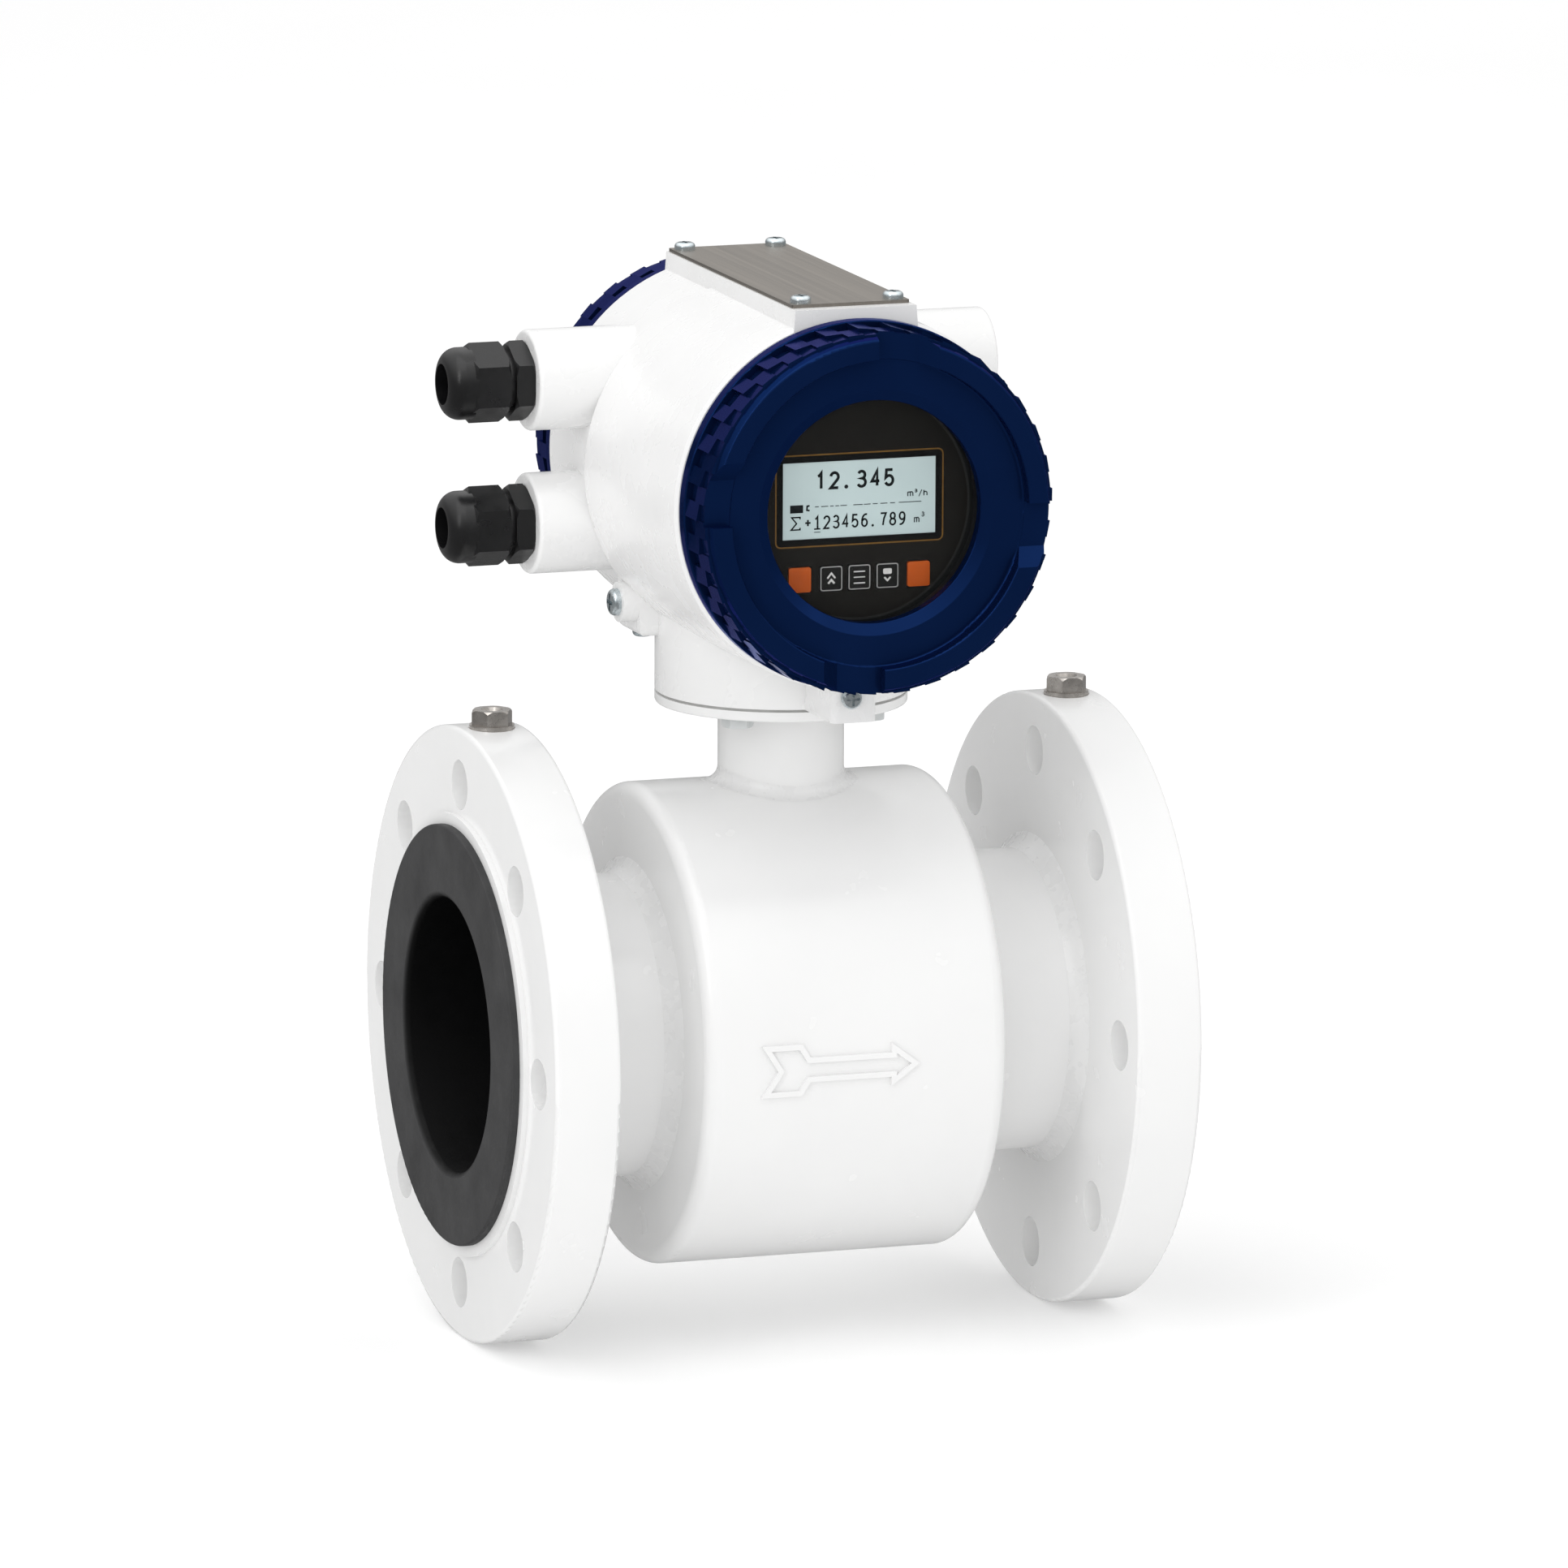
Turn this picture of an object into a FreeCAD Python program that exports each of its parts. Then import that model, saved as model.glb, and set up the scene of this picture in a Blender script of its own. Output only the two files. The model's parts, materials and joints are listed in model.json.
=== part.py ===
import FreeCAD, Part
import math
import os

# Electromagnetic flow meter, nominal bore 100, with a two-compartment transmitter head.
# Lengths are in millimetres. The origin is the centre of the flow bore at mid length.
# X runs with the flow, Z runs up the neck to the head, and -Y is the display side.

Vector = FreeCAD.Vector
CENTRE = Vector(0, 0, 0)
X_DIR = Vector(1, 0, 0)
Y_DIR = Vector(0, 1, 0)
Z_DIR = Vector(0, 0, 1)
FULL_TURN = 360.0
TOUCHING = 0.001

# Fits
SLIDE_GAP = 0.3
RUNNING_GAP = 0.05

# Flow tube, flanges and liner
FACE_TO_FACE = 250.0
BORE_R = 49.0
LINER_WALL = 2.5
TUBE_WALL = 2.5
LINER_R = BORE_R + LINER_WALL
TUBE_R = LINER_R + TUBE_WALL
FLANGE_R = 110.0
BOLT_INSET = 20.0
BOLT_CIRCLE_R = FLANGE_R - BOLT_INSET
RAISED_FACE_INSET = 11.0
RAISED_FACE_R = BOLT_CIRCLE_R - RAISED_FACE_INSET
FLARE_INSET = 4.0
FLARE_R = RAISED_FACE_R - FLARE_INSET
FLARE_THICKNESS = 3.0
FLARE_EDGE = 0.8
MOUTH_ROUND = 2.4
RAISED_FACE_HEIGHT = 2.0
FLANGE_THICKNESS = 24.0
FLANGE_EDGE = 1.5
BOLT_HOLE_R = 9.0
BOLT_COUNT = 8
SEAL_X = FACE_TO_FACE / 2
RAISED_X = SEAL_X - FLARE_THICKNESS
FLANGE_X = RAISED_X - RAISED_FACE_HEIGHT
FLANGE_BACK_X = FLANGE_X - FLANGE_THICKNESS
TUBE_WELD_LEG = 5.5
WELD_BULGE = 0.42

# Earthing bolts on the flange rims
EARTH_BOLT_R = 4.0
EARTH_BOLT_LENGTH = 8.0
EARTH_BOLT_ACROSS = 13.0
EARTH_BOLT_HEAD = 5.3
EARTH_WASHER_R = 8.0
EARTH_WASHER_THICKNESS = 1.6
EARTH_SEAT_DEPTH = 0.35
EARTH_SEAT_Z = FLANGE_R - EARTH_SEAT_DEPTH
EARTH_BOLT_X = FLANGE_X - FLANGE_THICKNESS / 2

# Coil housing
HOUSING_R = 86.0
HOUSING_WALL = 3.0
HOUSING_HALF = 56.0
HOUSING_CORNER = 5.0
SHELL_HALF = HOUSING_HALF - HOUSING_CORNER
HOUSING_INNER_R = HOUSING_R - HOUSING_WALL

# Flow arrow, a raised bead on the display side of the housing
ARROW_BEAD = 1.9
ARROW_HEIGHT = 1.3
ARROW_ROOT = 1.0
ARROW_TAIL_X = -36.4
ARROW_FLETCH = 15.0
ARROW_STEP = 3.0
ARROW_NOTCH = 6.0
ARROW_HEAD = 10.5
ARROW_LENGTH = 58.7
ARROW_TAIL_HALF = 9.3
ARROW_SHAFT_HALF = 4.4
ARROW_BARB_HALF = 7.8
ARROW_Z = -2.0

# Coils, magnet and electrodes
COIL_OUTER_R = 67.5
COIL_OUTER = (80.0, 84.0)
COIL_INNER = (40.0, 38.0)
COIL_CORNER = 14.0
CORE_CORNER = 6.0
YOKE_INNER_R = 69.0
YOKE_WALL = 2.5
YOKE_HALF = 30.0
YOKE_WINDOW_R = 15.0
ELECTRODE_HEAD_R = 5.5
ELECTRODE_HEAD = 1.2
ELECTRODE_FACE = BORE_R + 0.1
ELECTRODE_STEM_R = 2.5
ELECTRODE_REACH = 67.0
BUSH_NECK_R = 6.0
BUSH_FLANGE_R = 9.0
BUSH_TOP = 57.5
BUSH_SINK = 1.0
BUSH_SEAT_SINK = 2.0
SPRING_WASHER = 1.2
ELECTRODE_NUT_ACROSS = 8.0
ELECTRODE_NUT = 4.0

# Neck between housing and head
NECK_R = 22.5
NECK_WALL = 3.0
NECK_WELD = 5.0
NECK_TOP = 114.0
DISC_R = 45.0
DISC_THICKNESS = 3.5
DISC_EDGE = 0.8
DISC_HOLE_R = 17.0
GASKET_THICKNESS = 1.0
GASKET_INSET = 0.7
NECK_BOLT_CIRCLE_R = 35.0
NECK_BOLT_R = 3.0
NECK_BOLT_LENGTH = 14.0
NECK_BOLT_ACROSS = 10.0
NECK_BOLT_HEAD = 4.0
DISC_TOP = NECK_TOP + DISC_THICKNESS
HEAD_BASE = DISC_TOP + GASKET_THICKNESS
CABLE_R = 4.0
CABLE_BEND = 14.0

# Head casting: a barrel along Y on a round pedestal, as wide as its covers' rims or wider
BARREL_R = 66.5
RIM_R = 65.5
HEAD_RISE = 13.0
HEAD_Z = HEAD_BASE + HEAD_RISE + max(BARREL_R, RIM_R)
FRONT_Y = -78.5
FRONT_SETBACK = 5.0
REAR_Y = 62.5
STEP_Y = 13.0
BARREL_EDGE = 1.2
BARREL_SWELL = 3.3
BARREL_CROWN = 0.4
BULGE_R = BARREL_R + BARREL_SWELL
BULGE_TOP_R = BARREL_R + BARREL_CROWN
THREAD_BORE_R = 58.0
THREAD_LIP = 13.5
BARREL_WALL = 5.0
CHAMBER_R = BARREL_R - BARREL_WALL
PARTITION = 4.0
PARTITION_Y = 8.0
PEDESTAL_R = DISC_R
PEDESTAL_WALL = 5.5
PEDESTAL_FLOOR = 6.5
PEDESTAL_TOP = 160.0
NECK_BOLT_BOSS_R = 6.0
NECK_BOLT_BOSS = 9.0
PAD_HALF = 22.4
PAD_RISE = 2.3
PAD_ROOT = 10.0
PAD_TOP = HEAD_Z + BARREL_R + PAD_RISE
PAD_DRAFT = 1.2
BOSS_R = 18.0
BOSS_X = 86.0
BOSS_Y = 30.0
BOSS_EDGE = 1.5
UPPER_BOSS_RISE = 30.5
LOWER_BOSS_DROP = 21.0
UPPER_BOSS_Z = HEAD_Z + UPPER_BOSS_RISE
LOWER_BOSS_Z = HEAD_Z - LOWER_BOSS_DROP
ENTRY_R = 10.0
POST_R = 4.5
POST_SPREAD = 28.0
WIRE_HOLE_R = 7.0
WIRE_HOLE_X = 24.0

# Lugs under the head
EARTH_LUG_X = -58.0
EARTH_LUG_Y = 10.0
EARTH_LUG_Z = 150.6
EARTH_LUG_R = 7.2
LUG_X = (-52.0, -36.0)
LUG_Y = (3.0, 27.0)
LUG_Z = (138.5, 160.0)
LUG_ROUND = 3.0
TAG_SCREW_X = -45.0
TAG_SCREW_Y = 20.5
LOCK_BLOCK_X = (-6.5, 10.5)
LOCK_BLOCK_TOP = 140.0
LOCK_BLOCK_DEPTH = 34.0
LOCK_FRONT_Y = FRONT_Y + FRONT_SETBACK
LOCK_SCREW_Z = 127.4
LOCK_SCREW_X = 0.6

# Nameplate
PLATE_HALF_X = 21.7
PLATE_MARGIN_Y = 0.4
PLATE_FRONT_Y = FRONT_Y + FRONT_SETBACK + PLATE_MARGIN_Y
PLATE_REAR_Y = REAR_Y - PLATE_MARGIN_Y
PLATE_THICKNESS = 1.2
PLATE_CORNER = 0.8
PLATE_SCREW_INSET = 4.6

# Covers, measured outwards from the casting's end faces
SEAL_THICKNESS = 1.2
SEAL_INNER_R = 59.0
SEAL_OUTER_R = 63.0
SKIRT_LENGTH = 12.0
SKIRT_INNER_R = 53.0
SKIRT_EDGE = 1.0
RIM_TOP = 6.7
RIM_EDGE = 0.6
GRIP_COUNT = 34
GRIP_R = RIM_R - SLIDE_GAP
GRIP_RISE = 1.2
GRIP_DROP = 3.0
RIM_POCKET = 7.6
RIM_POCKET_R = 62.8
BEZEL_POCKET = 6.4
BEZEL_R = 63.6
BEZEL_FACE_R = 61.8
BEZEL_TAPER = 4.6
BEZEL_EDGE = 1.2
FRONT_COVER_TOP = 28.5
REAR_COVER_TOP = 25.5
REAR_COVER_WALL = 5.0
DISH_R = 54.6
DISH_DEPTH = 5.7
DISH_EDGE = 0.8
DISH_FLOOR = FRONT_COVER_TOP - DISH_DEPTH
BEVEL_R = 43.5
WINDOW_R = 39.4
WINDOW_LIP_R = 41.2
WINDOW_LIP_TOP = 20.4
WINDOW_EDGE = 0.5
GLASS_SEAT = 16.5
GLASS_R = 47.0
GLASS_GASKET = 0.5
GLASS_THICKNESS = 5.0
RETAINER = 3.5
RETAINER_INNER_R = 41.5
RETAINER_NOTCH = 4.0
WRENCH_SLOTS = 4
WRENCH_SLOT_START = 1.4
WRENCH_SLOT_FLOOR = 14.6
WRENCH_SLOT_RAMP = 6.6
WRENCH_SLOT_DEPTH = 5.2
REAR_DISH_DEPTH = 2.0
REAR_SLOT_DEPTH = 1.6

# Display, measured outwards from the front end face of the casting
FASCIA_TOP = 4.5
FASCIA_R = 41.0
FASCIA_THICKNESS = 2.5
HOLDER_OUTER_R = 49.5
HOLDER_INNER_R = 43.5
HOLDER_TOP = 3.5
HOLDER_EDGE = 0.8
HOLDER_LEDGE = 0.7
LCD_WINDOW = (56.6, 27.2)
LCD_BACK = (62.0, 34.0)
LCD_RECESS = 0.4
LCD_DEPTH = 7.0
LCD_RISE = 2.2
KEY_SIZE = (8.2, 8.8)
KEY_CORNER = 0.8
KEY_PITCHES = (-22.0, -10.4, 0.0, 10.4, 22.0)
KEY_NAMES = ("left_orange_key", "double_up_key", "menu_key", "down_key", "right_orange_key")
KEY_DROP = -25.7
KEY_PROUD = 0.4
KEY_FLANGE = 0.7
KEY_FLANGE_THICKNESS = 1.0
KEY_STEM_R = 1.5
KEY_TRAVEL = 0.4
SWITCH_SIZE = 5.0
SWITCH_HEIGHT = 3.6
SWITCH_PLUNGER_R = 1.6
SWITCH_PLUNGER = 0.8
SWITCH_RIM = 0.6
DISPLAY_BOARD_TOP = -9.0
BOARD_THICKNESS = 1.6
DISPLAY_BOARD_R = 50.5
MAIN_BOARD_Y = -28.0
MAIN_BOARD_GAP = 5.5
MAIN_BOARD_R = CHAMBER_R - MAIN_BOARD_GAP
STANDOFF_ACROSS = 5.5

# Parts on the main board: width, height, standing depth, and centre from the head's axis
TRANSFORMER = (34.0, 28.0, 20.0, 0.0, 20.0)
TRANSFORMER_EDGE = 2.0
CONNECTOR = (40.0, 9.0, 9.0, 0.0, -39.5)
REGULATOR = (18.0, 16.0, 6.0, -5.0, -16.0)
CAPACITOR_R = 5.5
CAPACITOR_HEIGHT = 15.0
CAPACITOR_EDGE = 1.0
CAPACITOR_X = (14.0, 27.0)
CAPACITOR_DROP = 14.0

# Glands, measured outwards from the boss end faces
GLAND_ACROSS = 25.0
GLAND_THREAD = 10.0
GLAND_HEX = 7.0
GLAND_NECK_R = 11.0
GLAND_NECK_TOP = 19.0
GLAND_BORE_R = 8.5
GLAND_ROOT_R = 7.5
GLAND_NUT_START = 9.0
GLAND_NUT_HEX_TOP = 22.0
GLAND_NUT_TOP = 31.0
GLAND_SEAL_START = 8.0
GLAND_SEAL_TOP = 20.5
CORD_HOLE_R = 6.0
GLAND_MOUTH_R = 7.3
DOME_BASE_R = 12.9
DOME_ROUND = 6.0
HEX_CHAMFER = 1.0

# Terminal strip in the rear compartment
TERMINAL_COUNT = 8
TERMINAL_HALF = 34.0
TERMINAL_Z = -14.0
TERMINAL_HEIGHT = 24.0
TERMINAL_DEPTH = 14.0
TERMINAL_STEP = 9.0
WIRE_ENTRY = 4.0
WIRE_ENTRY_WALL = 1.0

# Stopping plug
PLUG_SINK = 0.6
PLUG_SOCKET = 8.0
PLUG_SOCKET_DEPTH = 6.0

# Screws: head radius, head height, shank radius, shank length
SCREW_M3 = (2.8, 1.9, 1.5, 6.0)
SCREW_M4 = (3.7, 2.6, 2.0, 8.0)
SCREW_M5 = (4.8, 3.0, 2.5, 10.0)
PAN_ROUND = 0.6
CROSS_WIDTH = 0.28
CROSS_DEPTH = 0.5
CROSS_REACH = 1.3

# Forged dish in a hexagon head, as shares of its width across flats and its height
HEX_DISH_MOUTH = 1 / 3.4
HEX_DISH_BOTTOM = 1 / 4.2
HEX_DISH_FLOOR = 0.72

PARTS = {}


def outline_edges(points):
    """Edges of a closed outline in the XZ plane; each point is (x, z, corner radius)."""
    corners = []
    count = len(points)
    for index in range(count):
        before = Vector(points[index - 1][0], 0, points[index - 1][1])
        corner = Vector(points[index][0], 0, points[index][1])
        after = Vector(points[(index + 1) % count][0], 0, points[(index + 1) % count][1])
        radius = points[index][2] if len(points[index]) > 2 else 0.0
        if radius == 0.0:
            corners.append((corner, None, corner))
            continue
        to_before = (before - corner).normalize()
        to_after = (after - corner).normalize()
        half_angle = to_before.getAngle(to_after) / 2
        reach = radius / math.tan(half_angle)
        bisector = (to_before + to_after).normalize()
        middle = corner + bisector * (radius / math.sin(half_angle) - radius)
        corners.append((corner + to_before * reach, middle, corner + to_after * reach))
    edges = []
    for index in range(count):
        start, middle, end = corners[index]
        if middle is not None:
            edges.append(Part.Arc(start, middle, end).toShape())
        following = corners[(index + 1) % count][0]
        if end.distanceToPoint(following) > TOUCHING:
            edges.append(Part.makeLine(end, following))
    return edges


def turned(points):
    """Solid of revolution about Z; each point is (radius, height, corner radius)."""
    face = Part.Face(Part.Wire(outline_edges(points)))
    return face.revolve(CENTRE, Z_DIR, FULL_TURN)


def ring(inner_r, outer_r, low, high):
    return turned([(inner_r, low), (outer_r, low), (outer_r, high), (inner_r, high)])


def rod(radius, low, high):
    return Part.makeCylinder(radius, high - low, Vector(0, 0, low))


def placed(shape, point, direction):
    """Copy of a shape with its Z turned to a direction and its origin at a point."""
    copy = shape.copy()
    turn = FreeCAD.Placement(point, FreeCAD.Rotation(Z_DIR, direction))
    copy.Placement = turn.multiply(copy.Placement)
    return copy


def along_x(shape, start=0.0):
    return placed(shape, Vector(start, 0, 0), X_DIR)


def along_head(shape):
    """A shape turned about Z, set on the head's own axis with its heights along Y."""
    return placed(shape, Vector(0, 0, HEAD_Z), Y_DIR)


def outwards_front(shape):
    return placed(shape, Vector(0, FRONT_Y, HEAD_Z), -Y_DIR)


def outwards_rear(shape):
    return placed(shape, Vector(0, REAR_Y, HEAD_Z), Y_DIR)


def block(x_span, y_span, z_span):
    size = (x_span[1] - x_span[0], y_span[1] - y_span[0], z_span[1] - z_span[0])
    return Part.makeBox(*size, Vector(x_span[0], y_span[0], z_span[0]))


def plate(width, height, low, high, corner=0.0):
    """Rectangle with rounded corners, centred on Z and extruded upwards."""
    half_x = width / 2
    half_y = height / 2
    corners = [(-half_x, -half_y), (half_x, -half_y), (half_x, half_y), (-half_x, half_y)]
    edges = outline_edges([(x, y, corner) for x, y in corners])
    face = Part.Face(Part.Wire(edges))
    face.rotate(CENTRE, X_DIR, -90)
    solid = face.extrude(Vector(0, 0, high - low))
    solid.translate(Vector(0, 0, low))
    return solid


def hexagon(across, low, high):
    corner_r = across / math.sqrt(3)
    angles = [math.radians(60 * step) for step in range(7)]
    points = [Vector(corner_r * math.cos(a), corner_r * math.sin(a), low) for a in angles]
    return Part.Face(Part.makePolygon(points)).extrude(Vector(0, 0, high - low))


def chamfered_hexagon(across, low, high, chamfer, both_ends=True):
    corner_r = across / math.sqrt(3) + TOUCHING
    slope_r = across / 2 + (corner_r - across / 2) / 4
    envelope = [(0, low), (corner_r, low), (corner_r, high - chamfer), (slope_r, high), (0, high)]
    if both_ends:
        envelope[1:2] = [(slope_r, low), (corner_r, low + chamfer)]
    return hexagon(across, low, high).common(turned(envelope))


def hex_bolt(across, head, shank_r, shank):
    mouth = head + TOUCHING
    floor = head * HEX_DISH_FLOOR
    dish = turned([
        (0, mouth),
        (across * HEX_DISH_MOUTH, mouth),
        (across * HEX_DISH_BOTTOM, floor),
        (0, floor),
    ])
    top = chamfered_hexagon(across, 0, head, HEX_CHAMFER, both_ends=False).cut(dish)
    return top.fuse(rod(shank_r, -shank, 0)).removeSplitter()


def pan_screw(size):
    """Pan-head screw with a cross recess, seated at the origin with its head along Z."""
    head_r, head, shank_r, shank = size
    body = turned([
        (0, -shank),
        (shank_r, -shank),
        (shank_r, 0),
        (head_r, 0),
        (head_r, head, head * PAN_ROUND),
        (0, head),
    ])
    arm = head_r * CROSS_WIDTH
    depth = head * CROSS_DEPTH
    for turn in (0, 90):
        slot = plate(head_r * CROSS_REACH, arm, head - depth, head + depth)
        slot.rotate(CENTRE, Z_DIR, turn)
        body = body.cut(slot)
    return body


def repeated(shape, count, radius=0.0, start=0.0):
    """Copies of a shape spaced evenly about Z."""
    copies = []
    for index in range(count):
        copy = shape.copy()
        copy.translate(Vector(radius, 0, 0))
        copy.rotate(CENTRE, Z_DIR, start + index * FULL_TURN / count)
        copies.append(copy)
    return copies


def group(shapes):
    return Part.makeCompound(shapes)


# ---------------------------------------------------------------- flow tube

def flange():
    """Inlet flange with its raised face, bolt holes and tapped earthing hole."""
    profile = [
        (TUBE_R, -RAISED_X),
        (RAISED_FACE_R, -RAISED_X),
        (RAISED_FACE_R, -FLANGE_X),
        (FLANGE_R, -FLANGE_X, FLANGE_EDGE),
        (FLANGE_R, -FLANGE_BACK_X, FLANGE_EDGE),
        (TUBE_R, -FLANGE_BACK_X),
    ]
    hole = rod(BOLT_HOLE_R, -RAISED_X, -FLANGE_BACK_X)
    disc = turned(profile).cut(repeated(hole, BOLT_COUNT, BOLT_CIRCLE_R))
    body = along_x(disc)
    seat = rod(EARTH_WASHER_R + SLIDE_GAP, EARTH_SEAT_Z, FLANGE_R + 1)
    tapped = rod(EARTH_BOLT_R, EARTH_SEAT_Z - EARTH_BOLT_LENGTH, FLANGE_R)
    for cutter in (seat, tapped):
        cutter.translate(Vector(-EARTH_BOLT_X, 0, 0))
        body = body.cut(cutter)
    return body


def at_outlet(shape):
    copy = shape.copy()
    copy.rotate(CENTRE, Z_DIR, 180)
    return copy


def electrode_cut(radius, inner=0.0, outer=TUBE_R + TUBE_WALL):
    """Radial pins through both sides of the tube, along Y."""
    sides = []
    for direction in (Y_DIR, -Y_DIR):
        sides.append(placed(rod(radius, inner, outer), CENTRE, direction))
    return sides


def measuring_tube():
    tube = along_x(ring(LINER_R, TUBE_R, -RAISED_X, RAISED_X))
    return tube.cut(electrode_cut(BUSH_NECK_R))


def liner():
    profile = [
        (BORE_R, -SEAL_X, MOUTH_ROUND),
        (FLARE_R, -SEAL_X, FLARE_EDGE),
        (FLARE_R, -RAISED_X),
        (LINER_R, -RAISED_X),
        (LINER_R, RAISED_X),
        (FLARE_R, RAISED_X),
        (FLARE_R, SEAL_X, FLARE_EDGE),
        (BORE_R, SEAL_X, MOUTH_ROUND),
    ]
    sleeve = along_x(turned(profile))
    heads = electrode_cut(ELECTRODE_HEAD_R, 0, BORE_R + ELECTRODE_HEAD)
    return sleeve.cut(heads + electrode_cut(ELECTRODE_STEM_R))


def electrodes():
    head_top = BORE_R + ELECTRODE_HEAD
    profile = [
        (0, ELECTRODE_FACE),
        (ELECTRODE_HEAD_R, ELECTRODE_FACE),
        (ELECTRODE_HEAD_R, head_top),
        (ELECTRODE_STEM_R, head_top),
        (ELECTRODE_STEM_R, ELECTRODE_REACH),
        (0, ELECTRODE_REACH),
    ]
    pin = turned(profile)
    return group([placed(pin, CENTRE, direction) for direction in (Y_DIR, -Y_DIR)])


def electrode_bushes():
    profile = [
        (ELECTRODE_STEM_R, LINER_R - BUSH_SINK),
        (BUSH_NECK_R, LINER_R - BUSH_SINK),
        (BUSH_NECK_R, TUBE_R - BUSH_SEAT_SINK),
        (BUSH_FLANGE_R, TUBE_R - BUSH_SEAT_SINK),
        (BUSH_FLANGE_R, BUSH_TOP),
        (ELECTRODE_STEM_R, BUSH_TOP),
    ]
    bush = turned(profile)
    liner_body = along_x(rod(LINER_R, -FLARE_R, FLARE_R))
    tube_wall = along_x(ring(LINER_R, TUBE_R, -FLARE_R, FLARE_R))
    outside_neck = tube_wall.cut(electrode_cut(BUSH_NECK_R))
    bushes = []
    for direction in (Y_DIR, -Y_DIR):
        bushes.append(placed(bush, CENTRE, direction).cut([liner_body, outside_neck]))
    return group(bushes)


def electrode_nuts():
    washer_top = BUSH_TOP + SPRING_WASHER
    washer = ring(ELECTRODE_STEM_R, ELECTRODE_NUT_ACROSS / 2, BUSH_TOP, washer_top)
    nut = chamfered_hexagon(ELECTRODE_NUT_ACROSS, washer_top, washer_top + ELECTRODE_NUT, HEX_CHAMFER / 2)
    nut = nut.cut(rod(ELECTRODE_STEM_R, 0, ELECTRODE_REACH))
    stack = []
    for direction in (Y_DIR, -Y_DIR):
        stack.append(placed(washer, CENTRE, direction))
        stack.append(placed(nut, CENTRE, direction))
    return group(stack)


def both_poles(shape):
    below = shape.copy()
    below.rotate(CENTRE, X_DIR, 180)
    return group([shape, below])


def saddle_coils():
    outer = plate(*COIL_OUTER, 0, COIL_OUTER_R, COIL_CORNER)
    inner = plate(*COIL_INNER, 0, COIL_OUTER_R, CORE_CORNER)
    shell = along_x(ring(TUBE_R, COIL_OUTER_R, -HOUSING_HALF, HOUSING_HALF))
    return both_poles(outer.cut(inner).common(shell))


def pole_cores():
    core = plate(*COIL_INNER, 0, YOKE_INNER_R, CORE_CORNER)
    shell = along_x(ring(TUBE_R, YOKE_INNER_R, -HOUSING_HALF, HOUSING_HALF))
    return both_poles(core.common(shell))


def magnetic_yoke():
    band = along_x(ring(YOKE_INNER_R, YOKE_INNER_R + YOKE_WALL, -YOKE_HALF, YOKE_HALF))
    windows = electrode_cut(YOKE_WINDOW_R, 0, HOUSING_R)
    return band.cut(windows)


def flow_arrow():
    """Outline bead of the flow arrow, following the housing's curve."""
    tail = ARROW_TAIL_X
    fletch_end = tail + ARROW_FLETCH
    shaft_start = fletch_end + ARROW_STEP
    tip = tail + ARROW_LENGTH
    shaft_end = tip - ARROW_HEAD
    upper = [
        (tail, ARROW_TAIL_HALF),
        (fletch_end, ARROW_TAIL_HALF),
        (shaft_start, ARROW_SHAFT_HALF),
        (shaft_end, ARROW_SHAFT_HALF),
        (shaft_end, ARROW_BARB_HALF),
    ]
    lower = [(x, -z) for x, z in reversed(upper)]
    corners = upper + [(tip, 0)] + lower + [(tail + ARROW_NOTCH, 0)]
    points = [Vector(x, 0, ARROW_Z + z) for x, z in corners]
    face = Part.Face(Part.makePolygon(points + points[:1]))
    bead = face.cut(face.makeOffset2D(-ARROW_BEAD, join=2))
    prism = bead.extrude(Vector(0, -FLANGE_R, 0))
    skin = along_x(ring(HOUSING_R - ARROW_ROOT, HOUSING_R + ARROW_HEIGHT, -SHELL_HALF, SHELL_HALF))
    return prism.common(skin)


def housing_shell():
    shell = along_x(ring(HOUSING_INNER_R, HOUSING_R, -SHELL_HALF, SHELL_HALF))
    return shell.fuse(flow_arrow()).cut(rod(NECK_R, 0, NECK_TOP)).removeSplitter()


def housing_end():
    """Dished end ring, with its rounded outer corner, at the inlet end."""
    inside_corner = HOUSING_CORNER - HOUSING_WALL
    profile = [
        (TUBE_R, -HOUSING_HALF),
        (HOUSING_R, -HOUSING_HALF, HOUSING_CORNER),
        (HOUSING_R, -SHELL_HALF),
        (HOUSING_INNER_R, -SHELL_HALF),
        (HOUSING_INNER_R, -HOUSING_HALF + HOUSING_WALL, inside_corner),
        (TUBE_R, -HOUSING_HALF + HOUSING_WALL),
    ]
    return along_x(turned(profile))


def fillet_ring(corner_r, corner_x, leg, direction):
    """Weld fillet round the tube, in the corner at one side of a plate."""
    bulge = leg * WELD_BULGE
    start = Vector(corner_r, 0, corner_x)
    on_tube = Vector(corner_r, 0, corner_x + direction * leg)
    on_plate = Vector(corner_r + leg, 0, corner_x)
    middle = Vector(corner_r + bulge, 0, corner_x + direction * bulge)
    edges = [
        Part.makeLine(start, on_tube),
        Part.Arc(on_tube, middle, on_plate).toShape(),
        Part.makeLine(on_plate, start),
    ]
    return along_x(Part.Face(Part.Wire(edges)).revolve(CENTRE, Z_DIR, FULL_TURN))


def tube_welds():
    flange_bead = fillet_ring(TUBE_R, -FLANGE_BACK_X, TUBE_WELD_LEG, 1)
    housing_bead = fillet_ring(TUBE_R, -HOUSING_HALF, TUBE_WELD_LEG, -1)
    return group([flange_bead, housing_bead, at_outlet(flange_bead), at_outlet(housing_bead)])


def neck_tube():
    inside = along_x(rod(HOUSING_INNER_R, -HOUSING_HALF, HOUSING_HALF))
    return ring(NECK_R - NECK_WALL, NECK_R, 0, NECK_TOP).cut(inside)


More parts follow.
